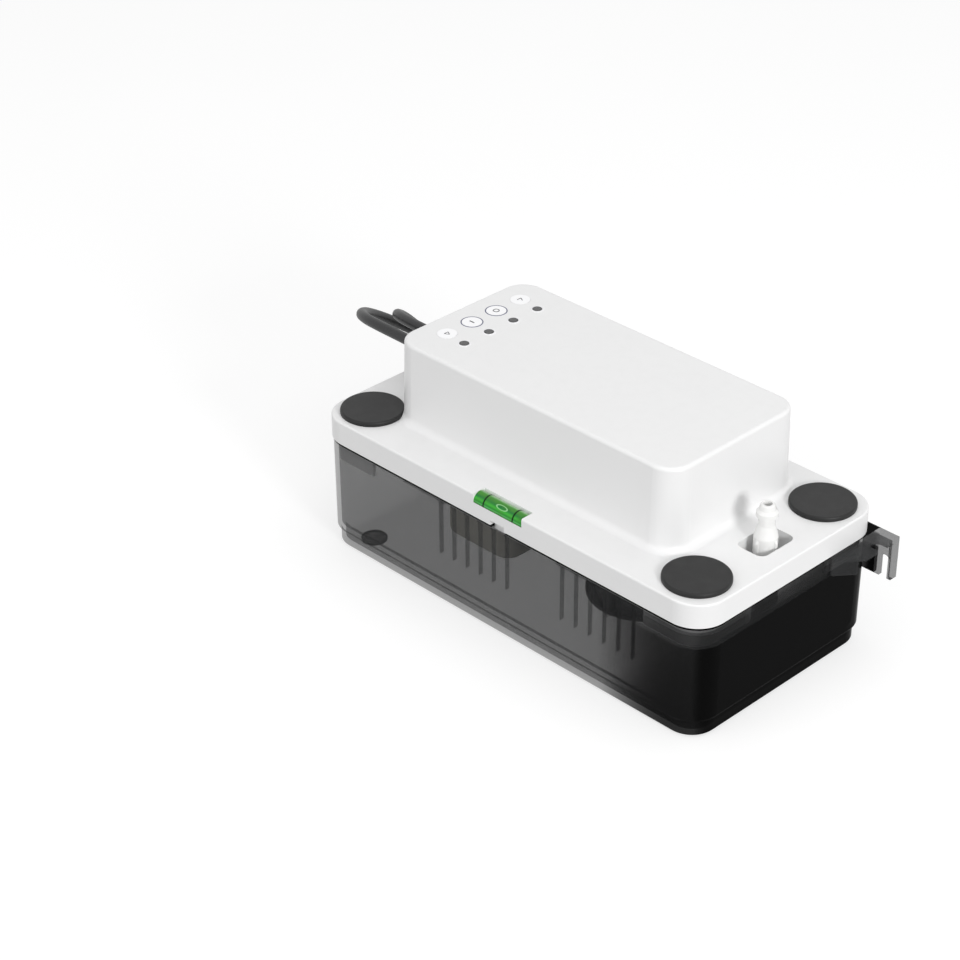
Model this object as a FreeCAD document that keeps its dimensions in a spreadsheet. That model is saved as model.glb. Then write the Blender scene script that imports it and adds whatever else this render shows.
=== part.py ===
import FreeCAD, Part
import math
import os
import re
import Sketcher

# Condensate pump, millimetres. The origin is on the floor under the middle of the tank.
# X runs along the pump towards the discharge barb, Y towards the wall, Z up.

Vector = FreeCAD.Vector
UP = Vector(0, 0, 1)
document = FreeCAD.newDocument("condensate_pump")

# Driving dimensions. Each row is a name, its value and what it measures.
DIMENSIONS = [
    ("foot_lift", 0.7, "tank bottom above the floor"),
    ("foot_radius", 7.5, "rubber foot"),
    ("foot_recess", 0.6, "depth of the recess that holds a foot"),
    ("foot_x", 118.0, "foot from the middle of the tank"),
    ("foot_y", 52.5, "foot from the middle of the tank"),
    ("tank_height", 68.3, "tank from its bottom to its rim"),
    ("tank_inset", 0.7, "tank outline inside the lid outline"),
    ("tank_wall", 2.5, "tank wall"),
    ("tank_floor", 2.8, "tank bottom"),
    ("tank_draft", 0.5, "tank wall draft, degrees"),
    ("plinth_height", 9.7, "plinth under the tank wall"),
    ("plinth_inset", 2.0, "plinth inside the tank wall"),
    ("plinth_round", 1.5, "step above the plinth and edge under it"),
    ("rim_groove_width", 1.3, "shadow groove under the lid"),
    ("rim_groove_depth", 1.5, "shadow groove under the lid"),
    ("rib_count", 6, "ribs in a group on the front wall of the tank"),
    ("rib_pitch", 10.0, "rib spacing"),
    ("rib_depth", 2.4, "rib into the tank"),
    ("rib_thickness", 1.3, "rib"),
    ("rib_length", 34.0, "rib height"),
    ("rib_start_left", -48.0, "first rib of the left group"),
    ("rib_start_right", 42.0, "first rib of the right group"),
    ("rib_drop", 5.2, "top of the ribs below the rim"),
    ("snap_length", 32.0, "snap window in the tank wall"),
    ("snap_height", 1.4, "snap window in the tank wall"),
    ("snap_drop", 3.5, "snap window below the rim"),
    ("snap_x", 57.0, "snap window from the middle"),
    ("ear_reach", 152.3, "outer edge of a wall ear from the middle"),
    ("ear_plate", 2.5, "thickness of the wall ear"),
    ("ear_height", 27.0, "wall ear down from its top"),
    ("ear_drop", 1.0, "top of the wall ear below the rim"),
    ("ear_flange", 5.0, "flange along the outer edge of the wall ear"),
    ("ear_slot_width", 6.0, "screw slot in the wall ear"),
    ("ear_slot_x", 146.0, "screw slot from the middle"),
    ("ear_slot_top", 14.0, "end of the screw slot below the rim"),
    ("ear_web_start", 31.0, "start of the ear web along the end wall"),
    ("ear_web_corner", 44.0, "outer corner of the ear web"),
    ("ear_access_y", 57.6, "screwdriver notch in the ear web"),
    ("ear_access_radius", 4.2, "screwdriver notch in the ear web"),
    ("ear_access_x", 149.0, "screwdriver notch in the ear web"),
    ("ear_gusset", 2.4, "thickness of the gusset under the ear web"),
    ("lid_length", 280.0, "lid"),
    ("lid_width", 144.0, "lid"),
    ("lid_corner", 18.0, "corner radius of the lid"),
    ("lid_height", 13.8, "lid above the tank rim"),
    ("lid_wall", 2.5, "wall of lid and motor box"),
    ("lid_round", 1.0, "top edge of the lid"),
    ("lip_gap", 0.5, "lid lip inside the tank wall"),
    ("lip_wall", 2.0, "lid lip"),
    ("lip_depth", 4.7, "lid lip below the rim along the sides"),
    ("lip_corner_depth", 13.0, "lid lip below the rim at the corners"),
    ("lip_corner_reach", 40.0, "deep part of the lip from the corner"),
    ("box_length", 201.5, "motor box at its top"),
    ("box_width", 99.8, "motor box at its top"),
    ("box_x", -5.0, "middle of the motor box"),
    ("box_y", 4.8, "middle of the motor box"),
    ("box_corner", 13.5, "corner radius of the motor box"),
    ("box_rise", 48.7, "motor box above the lid"),
    ("box_draft", 1.2, "motor box draft, degrees"),
    ("box_round", 2.0, "top edge of the motor box"),
    ("box_foot_round", 4.4, "fillet at the foot of the motor box"),
    ("boss_radius", 4.0, "screw boss in the motor box"),
    ("boss_height", 14.0, "screw boss above the deck"),
    ("boss_inset", 9.0, "screw boss from the inner wall of the motor box"),
    ("inlet_end_inset", 22.0, "right inlets from the end of the lid"),
    ("inlet_side_inset", 22.4, "right inlets from the side of the lid"),
    ("left_inlet_end_inset", 21.2, "left inlet from the end of the lid"),
    ("left_inlet_side_inset", 21.6, "left inlet from the side of the lid"),
    ("inlet_radius", 14.3, "inlet bore"),
    ("inlet_collar_wall", 1.8, "collar under an inlet"),
    ("inlet_collar_depth", 6.0, "collar under an inlet"),
    ("plug_cap_radius", 18.0, "inlet plug"),
    ("plug_cap_height", 2.6, "inlet plug"),
    ("plug_spigot", 9.0, "part of the plug inside the inlet"),
    ("plug_wall", 2.0, "wall of the plug spigot"),
    ("plug_gap", 0.15, "plug spigot inside the inlet"),
    ("plug_round", 1.1, "edge of the inlet plug"),
    ("plug_travel", 14.0, "plug drawn out of its inlet"),
    ("plug_clearance", 0.2, "plug from the foot of the motor box"),
    ("notch_width", 10.0, "pry notch in the front"),
    ("notch_rise", 2.7, "pry notch above the rim"),
    ("notch_drop", 3.3, "pry notch below the rim"),
    ("valve_x", 120.0, "check valve from the middle"),
    ("valve_y", 1.0, "check valve from the middle"),
    ("well_length", 18.4, "valve well along the pump"),
    ("well_width", 26.8, "valve well across the pump"),
    ("well_corner", 4.5, "corner radius of the valve well"),
    ("well_wall", 2.0, "valve well"),
    ("well_depth", 6.0, "floor of the valve well below the rim"),
    ("vial_radius", 4.7, "level vial"),
    ("vial_length", 37.0, "level vial"),
    ("vial_inset", 5.0, "axis of the level vial from the faces of the lid"),
    ("vial_window", 8.6, "window over the level vial, along Y"),
    ("vial_window_drop", 5.4, "window over the level vial, below the lid top"),
    ("vial_end_gap", 0.5, "level vial in its cradle"),
    ("cradle_wall", 2.2, "cradle round the level vial"),
    ("mark_x", 10.7, "mark ring of the level vial from its middle"),
    ("mark_width", 0.9, "mark ring"),
    ("mark_depth", 0.35, "groove that holds a mark ring"),
    ("light_count", 4, "indicator lights"),
    ("light_x", -74.4, "row of indicator lights"),
    ("light_y", -22.6, "first indicator light"),
    ("light_pitch", 18.8, "indicator light spacing"),
    ("light_radius", 2.4, "indicator light"),
    ("icon_x", -89.0, "row of icon discs"),
    ("icon_y", -21.2, "first icon disc"),
    ("icon_radius", 5.6, "icon disc"),
    ("icon_thickness", 0.5, "icon disc"),
    ("icon_recess", 0.4, "recess that holds an icon disc"),
    ("fit_gap", 0.1, "slip fit between pieces that do not move"),
    ("cord_radius", 3.2, "power and alarm cord"),
    ("power_y", 16.0, "power cord where it leaves the motor box"),
    ("alarm_y", 0.8, "alarm cord where it leaves the motor box"),
    ("cord_height", 98.0, "cords where they leave the motor box"),
    ("relief_length", 28.0, "strain relief outside the motor box"),
    ("relief_root", 6.6, "strain relief radius at the motor box"),
    ("relief_tip", 4.4, "strain relief radius at its tip"),
    ("relief_neck", 5.0, "strain relief in the wall of the motor box"),
    ("relief_flange", 2.0, "strain relief flange inside the motor box"),
    ("vent_count", 9, "vent slots in the wall side of the motor box"),
    ("vent_pitch", 8.0, "vent slots"),
    ("vent_width", 3.0, "vent slot"),
    ("vent_height", 22.0, "vent slot"),
    ("vent_x", 3.0, "first vent slot"),
    ("vent_base", 96.0, "vent slots above the floor"),
    ("deck_overlap", 2.6, "deck outside the cavity of the motor box"),
    ("deck_thickness", 3.0, "motor deck"),
    ("deck_screw_radius", 1.7, "deck screw"),
    ("deck_screw_head", 3.4, "deck screw head radius"),
    ("deck_screw_head_height", 2.0, "deck screw head"),
    ("deck_screw_length", 12.0, "deck screw"),
    ("motor_x", 35.0, "motor axis"),
    ("motor_y", 4.8, "motor axis"),
    ("standoff_height", 4.0, "motor above the deck"),
    ("standoff_radius", 4.0, "standoff on the deck"),
    ("bar_thickness", 2.0, "bearing bracket bar"),
    ("bar_width", 13.0, "bearing bracket bar"),
    ("post_length", 5.0, "bearing bracket post"),
    ("post_radius", 3.4, "bearing bracket post"),
    ("post_y", 20.5, "bearing bracket post from the motor axis"),
    ("stack_height", 18.0, "stator stack"),
    ("stack_width", 52.0, "stator stack across the pump"),
    ("stack_front", 19.0, "stator stack from the motor axis towards the barb"),
    ("stack_back", 50.0, "stator stack from the motor axis to its coil leg"),
    ("coil_leg", 13.0, "leg of the stack inside the coil"),
    ("window_depth", 18.0, "coil window of the stack, along X"),
    ("window_width", 34.0, "coil window of the stack, along Y"),
    ("rotor_radius", 13.0, "rotor"),
    ("air_gap", 0.4, "rotor inside the stack"),
    ("shaft_radius", 2.0, "motor shaft"),
    ("shaft_gap", 0.04, "shaft in its bearings"),
    ("bearing_radius", 4.5, "sleeve bearing"),
    ("bearing_length", 6.0, "sleeve bearing"),
    ("hub_wall", 2.2, "bracket hub round its bearing"),
    ("hub_length", 7.0, "bracket hub"),
    ("bobbin_wall", 1.0, "coil bobbin"),
    ("bobbin_gap", 0.3, "coil bobbin round the coil leg"),
    ("winding_depth", 7.0, "coil winding"),
    ("fan_radius", 24.0, "cooling fan"),
    ("fan_height", 6.5, "cooling fan"),
    ("fan_hub", 5.5, "cooling fan hub radius"),
    ("fan_blades", 8, "cooling fan"),
    ("blade_thickness", 1.0, "cooling fan blade"),
    ("blade_pitch_angle", 38.0, "cooling fan blade, degrees"),
    ("motor_screw_radius", 1.6, "motor screw"),
    ("motor_screw_head", 3.0, "motor screw head radius"),
    ("motor_screw_head_height", 2.0, "motor screw head"),
    ("column_radius", 10.0, "pump column"),
    ("column_bore", 6.5, "pump column"),
    ("column_flange", 31.0, "flange under the pump column"),
    ("column_flange_height", 3.0, "flange under the pump column"),
    ("gusset_reach", 26.0, "gusset of the pump column"),
    ("gusset_thickness", 2.0, "gusset of the pump column"),
    ("volute_base", 13.0, "underside of the volute above the floor"),
    ("volute_height", 14.0, "volute casing"),
    ("volute_roof", 2.0, "roof of the volute casing"),
    ("volute_wall", 2.2, "wall of the volute casing"),
    ("volute_start", 18.2, "inner radius of the volute at its tongue"),
    ("volute_growth", 1.6, "growth of the volute in each quarter turn"),
    ("cover_thickness", 2.0, "volute cover"),
    ("intake_radius", 6.0, "intake of the volute cover"),
    ("cover_leg_radius", 2.2, "leg under the volute cover"),
    ("cover_leg_height", 4.0, "leg under the volute cover"),
    ("impeller_radius", 16.4, "impeller"),
    ("impeller_disc", 1.6, "impeller disc"),
    ("impeller_height", 7.0, "impeller over its vanes"),
    ("impeller_hub", 4.6, "impeller hub radius"),
    ("impeller_gap", 1.4, "impeller above the volute cover"),
    ("vane_count", 6, "impeller vanes"),
    ("vane_thickness", 1.3, "impeller vane"),
    ("vane_sweep", 48.0, "impeller vane, degrees round the axis"),
    ("volute_screw_radius", 1.4, "volute screw"),
    ("volute_screw_circle", 28.0, "volute screws from the axis"),
    ("lug_radius", 3.2, "screw lug of the volute"),
    ("volute_screw_head", 2.6, "volute screw head radius"),
    ("volute_screw_head_height", 1.8, "volute screw head"),
    ("pipe_radius", 5.0, "discharge pipe"),
    ("pipe_bore", 3.4, "discharge pipe"),
    ("pipe_bend", 14.0, "bend radius of the discharge pipe"),
    ("spout_radius", 7.0, "spout of the volute"),
    ("spout_length", 26.0, "spout of the volute from the motor axis"),
    ("spout_grip", 8.0, "discharge pipe inside the spout"),
    ("socket_radius", 8.0, "socket on top of the discharge pipe"),
    ("socket_depth", 14.0, "socket on top of the discharge pipe"),
    ("valve_spigot", 5.6, "valve spigot radius"),
    ("valve_spigot_length", 11.0, "valve spigot below the well floor"),
    ("valve_spigot_gap", 0.15, "valve spigot in its socket"),
    ("valve_flange", 7.4, "valve flange radius"),
    ("valve_flange_height", 2.0, "valve flange"),
    ("valve_body", 6.4, "valve body radius"),
    ("valve_body_top", 17.5, "end of the valve body above the rim"),
    ("valve_neck", 4.4, "valve neck radius"),
    ("valve_neck_start", 24.4, "start of the valve neck above the rim"),
    ("valve_barb", 5.75, "hose barb radius"),
    ("valve_barb_base", 28.6, "hose barb above the rim"),
    ("valve_barb_land", 2.4, "straight land of the hose barb"),
    ("valve_shoulder", 33.4, "shoulder of the hose barb above the rim"),
    ("valve_lip", 3.9, "lip of the hose barb radius"),
    ("valve_tip", 36.4, "tip of the valve above the rim"),
    ("valve_bore", 2.35, "bore of the valve"),
    ("valve_chamber", 4.3, "ball chamber radius"),
    ("valve_chamber_top", 7.0, "ball chamber above the rim"),
    ("valve_seat", 2.9, "bore under the ball seat"),
    ("fin_reach", 7.2, "grip fin of the valve"),
    ("fin_thickness", 1.6, "grip fin of the valve"),
    ("ball_radius", 3.8, "check ball"),
    ("ball_gap", 0.05, "check ball on its seat"),
    ("seal_radius", 0.8, "valve seal ring section"),
    ("seal_drop", 6.0, "valve seal ring below the well floor"),
    ("float_x", -62.0, "float"),
    ("float_y", 4.8, "float"),
    ("float_length", 52.0, "float along the pump"),
    ("float_width", 64.0, "float across the pump"),
    ("float_height", 22.0, "float"),
    ("float_corner", 10.0, "float"),
    ("float_round", 3.0, "float edges"),
    ("float_base", 9.0, "underside of the float above the floor"),
    ("rod_radius", 2.4, "float rod"),
    ("rod_gap", 0.3, "float rod in its guide"),
    ("rod_grip", 14.0, "float rod inside the float"),
    ("rod_collar", 4.4, "float rod collar radius"),
    ("rod_collar_height", 2.0, "float rod collar"),
    ("guide_radius", 5.0, "guide boss on the deck"),
    ("guide_height", 8.0, "guide boss on the deck"),
    ("rod_tip", 95.0, "tip of the float rod above the floor"),
    ("arm_reach", 34.0, "switch arm from its pin to the float rod"),
    ("arm_width", 14.0, "switch arm"),
    ("arm_thickness", 3.0, "switch arm"),
    ("arm_pin_radius", 1.5, "switch arm pin"),
    ("arm_pin_gap", 0.06, "switch arm on its pin"),
    ("arm_hub", 3.6, "switch arm hub radius"),
    ("arm_swing", 30.0, "swing of the switch arm, degrees"),
    ("arm_tip_gap", 0.9, "switch arm above the float rod"),
    ("bracket_wall", 2.5, "switch bracket"),
    ("bracket_gap", 0.4, "switch arm from the switch bracket"),
    ("switch_length", 19.8, "micro switch"),
    ("switch_width", 6.4, "micro switch"),
    ("switch_height", 9.6, "micro switch"),
    ("switch_base", 115.2, "micro switches above the floor"),
    ("switch_x", -45.0, "micro switches"),
    ("peg_radius", 1.1, "pegs that hold the micro switches"),
    ("peg_pitch", 9.5, "pegs that hold the micro switches"),
    ("board_length", 26.0, "circuit board along the pump"),
    ("board_width", 78.0, "circuit board across the pump"),
    ("board_thickness", 1.6, "circuit board"),
    ("board_drop", 3.0, "circuit board below the roof of the motor box"),
    ("board_post", 2.4, "post that carries the circuit board"),
    ("small_screw_radius", 1.1, "screw of circuit board and switch bracket"),
    ("small_screw_head", 2.0, "small screw head radius"),
    ("small_screw_head_height", 1.2, "small screw head"),
    ("small_screw_length", 4.0, "small screw"),
    ("bracket_foot", 10.0, "foot of the switch bracket"),
    ("bracket_end", 36.0, "switch bracket along the pump"),
    ("coil_x", -119.0, "cord coils on the floor"),
    ("coil_y", 128.0, "cord coils on the floor"),
    ("coil_inner", 19.8, "cord coil"),
    ("coil_outer", 45.4, "cord coil"),
    ("power_coil_height", 12.8, "power cord coil"),
    ("alarm_coil_height", 12.8, "alarm cord coil"),
    ("core_radius", 1.2, "cores of the alarm cord"),
    ("core_turn", 44.0, "bare cores of the alarm cord, degrees round the coil"),
    ("tail_turn", 60.0, "end of the alarm cord on its coil, degrees"),
    ("tail_angle", 200.0, "start of the end of the alarm cord, degrees"),
    ("mains_x", 21.0, "mains plug"),
    ("mains_y", 110.0, "mains plug"),
    ("mains_body_length", 34.0, "mains plug"),
    ("mains_body_width", 26.0, "mains plug"),
    ("mains_body_height", 24.0, "mains plug"),
    ("mains_tail", 22.0, "tapered tail of the mains plug"),
    ("blade_length", 16.0, "contact blades of the mains plug"),
    ("blade_width", 6.3, "contact blades of the mains plug"),
    ("blade_gauge", 1.5, "contact blades of the mains plug"),
    ("blade_offset", 6.35, "contact blades of the mains plug from its middle"),
    ("earth_radius", 2.4, "earth pin of the mains plug"),
    ("earth_drop", 5.0, "earth pin of the mains plug from its middle"),
]

# Places that follow from the dimensions above.
DERIVED = [
    ("rim", "foot_lift + tank_height"),
    ("lid_top", "rim + lid_height"),
    ("lid_under", "lid_top - lid_wall"),
    ("box_top", "lid_top + box_rise"),
    ("box_roof", "box_top - lid_wall"),
    ("tank_length", "lid_length - 2 * tank_inset"),
    ("tank_width", "lid_width - 2 * tank_inset"),
    ("tank_corner", "lid_corner - tank_inset"),
    ("wall_drop", "tank_height - plinth_height"),
    ("wall_lean", "wall_drop * tan(tank_draft * 1deg)"),
    ("cavity_length", "tank_length - 2 * tank_wall"),
    ("cavity_width", "tank_width - 2 * tank_wall"),
    ("cavity_corner", "tank_corner - tank_wall"),
    ("box_lean", "box_rise * tan(box_draft * 1deg)"),
    ("box_base_length", "box_length + 2 * box_lean"),
    ("box_base_width", "box_width + 2 * box_lean"),
    ("inlet_x", "lid_length / 2 - inlet_end_inset"),
    ("inlet_y", "lid_width / 2 - inlet_side_inset"),
    ("left_inlet_x", "lid_length / 2 - left_inlet_end_inset"),
    ("left_inlet_y", "lid_width / 2 - left_inlet_side_inset"),
    ("well_floor", "rim - well_depth"),
    ("vial_y", "vial_inset - lid_width / 2"),
    ("vial_z", "lid_top - vial_inset"),
    ("deck_top", "lid_under"),
    ("deck_under", "deck_top - deck_thickness"),
    ("deck_length", "box_base_length - 2 * lid_wall + 2 * deck_overlap"),
    ("deck_width", "box_base_width - 2 * lid_wall + 2 * deck_overlap"),
    ("stack_base", "deck_top + standoff_height + bar_thickness + post_length"),
    ("stack_top", "stack_base + stack_height"),
    ("stack_middle", "stack_base + stack_height / 2"),
    ("bobbin_outer", "stack_height / 2 + bobbin_gap + bobbin_wall + winding_depth"),
    ("fan_base", "stack_middle + bobbin_outer + 0.8"),
    ("volute_top", "volute_base + volute_height"),
    ("impeller_base", "volute_base + impeller_gap"),
    ("pivot_x", "float_x + arm_reach"),
    ("arm_fall", "arm_reach * sin(arm_swing * 0.5deg)"),
    ("pivot_z", "rod_tip + arm_tip_gap + arm_thickness / 2 + arm_fall"),
    ("bracket_y", "float_y + arm_width / 2 + bracket_gap"),
    ("board_under", "box_roof - board_drop - board_thickness"),
    ("board_x", "(light_x + icon_x) / 2"),
    ("board_y", "light_y + light_pitch * (light_count - 1) / 2"),
    ("box_end", "box_x - box_base_length / 2"),
    ("valve_base", "well_floor - valve_spigot_length"),
    ("wall_face", "box_x - box_length / 2 - (box_top - cord_height) * tan(box_draft * 1deg) - 0.2"),
    ("relief_end", "wall_face - relief_length"),
    ("spout_offset", "volute_start + 2 * volute_growth"),
    ("spout_height", "volute_base + volute_height / 2"),
    ("valve_distance", "hypot(valve_x - motor_x; valve_y - motor_y)"),
    ("valve_bearing", "atan((valve_y - motor_y) / (valve_x - motor_x)) / 1deg"),
    ("heading", "valve_bearing + asin(spout_offset / valve_distance) / 1deg"),
    ("rod_base", "float_base + float_height - rod_grip"),
    ("collar_base", "deck_top + guide_height + rod_gap"),
]


def fill_sheet():
    """Write every dimension and every place worked out from them to the sheet."""
    sheet = document.addObject("Spreadsheet::Sheet", "size")
    row = 1
    for name, value, meaning in DIMENSIONS:
        sheet.set("A%d" % row, name)
        sheet.set("B%d" % row, str(value))
        sheet.set("C%d" % row, meaning)
        sheet.setAlias("B%d" % row, name)
        row += 1
    for name, formula in DERIVED:
        sheet.set("A%d" % row, name)
        sheet.set("B%d" % row, "=" + formula)
        sheet.setAlias("B%d" % row, name)
        row += 1
    document.recompute()
    return sheet


size = fill_sheet()
ALIASES = {row[0] for row in DIMENSIONS + DERIVED}
bodies = []


def linked(formula):
    """Turn a formula of plain names into one that reads the sheet."""
    return re.sub(r"[a-z][a-z_]+", lambda word: "size." + word[0] if word[0] in ALIASES else word[0], formula)


def number(formula):
    """Work a formula out as a plain number."""
    return float(size.evalExpression(linked(str(formula))))


def bind(thing, **formulas):
    """Tie properties of an object to formulas of the sheet's names."""
    for name, formula in formulas.items():
        thing.setExpression(name, linked(str(formula)))
    return thing


def bind_place(thing, x="0", y="0", z="0"):
    """Tie an object's place to formulas."""
    for axis, formula in zip("xyz", (x, y, z)):
        thing.setExpression(".Placement.Base." + axis, linked(formula))
    return thing


def new_body(label):
    """Start a named piece that is built from sketches."""
    body = document.addObject("PartDesign::Body", label)
    body.Label = label
    bodies.append(body)
    return body


def keep(thing, label):
    """Give a finished piece its name."""
    thing.Label = label
    bodies.append(thing)
    return thing


def new_sketch(body, plane="XY_Plane", level="0"):
    """Attach a sketch to one of the body's own planes, at a level along its normal."""
    sketch = body.newObject("Sketcher::SketchObject", "sketch")
    support = [feature for feature in body.Origin.OriginFeatures if feature.Role == plane][0]
    sketch.AttachmentSupport = [(support, "")]
    sketch.MapMode = "FlatFace"
    sketch.setExpression(".AttachmentOffset.Base.z", linked(level))
    return sketch


def fix(sketch, kind, first, second, formula):
    """Add a constraint with a value from the sheet."""
    value = number(formula)
    if second is None:
        index = sketch.addConstraint(Sketcher.Constraint(kind, first[0], value))
    else:
        index = sketch.addConstraint(Sketcher.Constraint(kind, first[0], first[1], second[0], second[1], value))
    sketch.setExpression("Constraints[%d]" % index, linked(str(formula)))


def fix_point(sketch, index, point, x, y):
    """Place a point of the sketch from the body's origin."""
    fix(sketch, "DistanceX", (-1, 1), (index, point), x)
    fix(sketch, "DistanceY", (-1, 1), (index, point), y)


def add_circle(sketch, x, y, radius):
    """Draw a circle."""
    centre = Vector(number(x), number(y), 0)
    index = sketch.addGeometry(Part.Circle(centre, UP, number(radius)))
    fix_point(sketch, index, 3, x, y)
    fix(sketch, "Radius", (index,), None, radius)


def add_outline(sketch, points):
    """Draw a closed outline through points given as pairs of formulas."""
    corners = [Vector(number(x), number(y), 0) for x, y in points]
    first = sketch.GeometryCount
    count = len(corners)
    for index in range(count):
        sketch.addGeometry(Part.LineSegment(corners[index], corners[(index + 1) % count]))
    for index in range(count):
        following = first + (index + 1) % count
        sketch.addConstraint(Sketcher.Constraint("Coincident", first + index, 2, following, 1))
        fix_point(sketch, first + index, 1, *points[index])


def add_rectangle(sketch, x, y, length, width):
    """Draw a rectangle about a middle point."""
    left, right = "%s - (%s) / 2" % (x, length), "%s + (%s) / 2" % (x, length)
    low, high = "%s - (%s) / 2" % (y, width), "%s + (%s) / 2" % (y, width)
    add_outline(sketch, [(left, low), (right, low), (right, high), (left, high)])


def add_rounded(sketch, x, y, length, width, corner):
    """Draw a rectangle with round corners about a middle point."""
    half_x, half_y, radius = number(length) / 2, number(width) / 2, number(corner)
    middle = Vector(number(x), number(y), 0)
    first = sketch.GeometryCount
    for turn in range(4):
        angle = turn * math.pi / 2
        side_x = half_x if turn in (0, 3) else -half_x
        side_y = half_y if turn in (0, 1) else -half_y
        centre = middle + Vector(side_x - math.copysign(radius, side_x), side_y - math.copysign(radius, side_y), 0)
        circle = Part.Circle(centre, UP, radius)
        sketch.addGeometry(Part.ArcOfCircle(circle, angle, angle + math.pi / 2))
    for turn in range(4):
        start = sketch.getPoint(first + turn, 2)
        end = sketch.getPoint(first + (turn + 1) % 4, 1)
        sketch.addGeometry(Part.LineSegment(start, end))
    for turn in range(4):
        line = first + 4 + turn
        sketch.addConstraint(Sketcher.Constraint("Tangent", first + turn, 2, line, 1))
        sketch.addConstraint(Sketcher.Constraint("Tangent", line, 2, first + (turn + 1) % 4, 1))
        sketch.addConstraint(Sketcher.Constraint("Horizontal" if turn % 2 == 0 else "Vertical", line))
    for turn in range(1, 4):
        sketch.addConstraint(Sketcher.Constraint("Equal", first, first + turn))
    fix(sketch, "Radius", (first,), None, corner)
    fix(sketch, "DistanceY", (-1, 1), (first + 4, 1), "%s + (%s) / 2" % (y, width))
    fix(sketch, "DistanceX", (-1, 1), (first + 5, 1), "%s - (%s) / 2" % (x, length))
    fix(sketch, "DistanceY", (-1, 1), (first + 6, 1), "%s - (%s) / 2" % (y, width))
    fix(sketch, "DistanceX", (-1, 1), (first + 7, 1), "%s + (%s) / 2" % (x, length))


def volume(body):
    """Volume of the piece so far."""
    return body.Shape.Volume if body.Tip and not body.Shape.isNull() else 0.0


def add_feature(body, kind, sketch, grows, **formulas):
    """Add one sketched feature and make sure that it changed the piece the right way."""
    before = volume(body)
    feature = body.newObject("PartDesign::" + kind, kind.lower())
    feature.Profile = sketch
    sketch.Visibility = False
    for name in ("Reversed", "Midplane", "ReferenceAxis"):
        if name in formulas:
            setattr(feature, name, formulas.pop(name))
    if formulas.pop("through", False):
        feature.Type = 1
    bind(feature, **formulas)
    document.recompute()
    change = volume(body) - before
    if (change <= 0.001) if grows else (change >= -0.001):
        raise ValueError("%s of %s changes %.3f" % (kind, body.Label, change))
    return feature


def pad(body, sketch, length, **more):
    """Raise a sketch into material."""
    return add_feature(body, "Pad", sketch, True, Length=length, **more)


def pocket(body, sketch, length, **more):
    """Cut a sketch into the material, against its normal unless reversed."""
    return add_feature(body, "Pocket", sketch, False, Length=length, **more)


def revolve(body, sketch, axis="V_Axis"):
    """Turn a profile once round an axis of its sketch."""
    return add_feature(body, "Revolution", sketch, True, ReferenceAxis=(sketch, [axis]), Angle="360")


def groove(body, sketch, axis="V_Axis"):
    """Cut a profile turned once round an axis of its sketch."""
    return add_feature(body, "Groove", sketch, False, ReferenceAxis=(sketch, [axis]), Angle="360")


def edges_where(shape, test):
    """Names of the edges whose every corner passes a test."""
    names = []
    for index, edge in enumerate(shape.Edges):
        points = [vertex.Point for vertex in edge.Vertexes] + [edge.CenterOfMass]
        if all(test(point) for point in points):
            names.append("Edge%d" % (index + 1))
    return names


def dress(body, kind, radius, test):
    """Round or break the edges that pass a test."""
    names = edges_where(body.Shape, test)
    if not names:
        raise ValueError("no edge to dress on " + body.Label)
    base = body.Tip
    feature = body.newObject("PartDesign::" + kind, kind.lower())
    feature.Base = (base, names)
    bind(feature, **{"Radius" if kind == "Fillet" else "Size": radius})
    body.Tip = feature
    document.recompute()
    if "Invalid" in feature.State:
        raise ValueError("%s of %s failed" % (kind, body.Label))
    return feature


def near(value, target, slack=0.02):
    """Tell whether two places are the same."""
    return abs(value - target) < slack


def box(name, x, y, z, length, width, height):
    """A block that stands on a level, about a middle point."""
    block = document.addObject("Part::Box", name)
    bind(block, Length=length, Width=width, Height=height)
    return bind_place(block, "%s - (%s) / 2" % (x, length), "%s - (%s) / 2" % (y, width), z)


def cylinder(name, x, y, z, radius, height):
    """An upright round bar that stands on a level."""
    bar = document.addObject("Part::Cylinder", name)
    bind(bar, Radius=radius, Height=height)
    return bind_place(bar, x, y, z)


def lying_cylinder(name, x, y, z, radius, length, axis):
    """A round bar along X or Y from a point."""
    bar = cylinder(name, x, y, z, radius, length)
    turn_axis = Vector(0, 1, 0) if axis == "x" else Vector(1, 0, 0)
    bar.Placement = FreeCAD.Placement(Vector(), FreeCAD.Rotation(turn_axis, 90 if axis == "x" else -90))
    return bind_place(bar, x, y, z)


def cone(name, x, y, z, lower, upper, height):
    """An upright cone that stands on a level."""
    piece = document.addObject("Part::Cone", name)
    bind(piece, Radius1=lower, Radius2=upper, Height=height)
    return bind_place(piece, x, y, z)


def joined(label, pieces):
    """Fuse pieces into one."""
    fuse = document.addObject("Part::MultiFuse", label)
    fuse.Shapes = pieces
    fuse.Refine = True
    return fuse


def cut(label, base, tools):
    """Take one or more pieces away from a base."""
    result = document.addObject("Part::Cut", label)
    result.Base = base
    result.Tool = tools[0] if len(tools) == 1 else joined(label + "_tools", tools)
    return result


def group(label, pieces):
    """Keep identical separate solids in one named piece."""
    compound = document.addObject("Part::Compound", label)
    compound.Links = pieces
    return keep(compound, label)


def shaped(label, shape):
    """Keep a shape that is worked out in code."""
    piece = document.addObject("Part::Feature", label)
    piece.Shape = shape
    return keep(piece, label)


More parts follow.
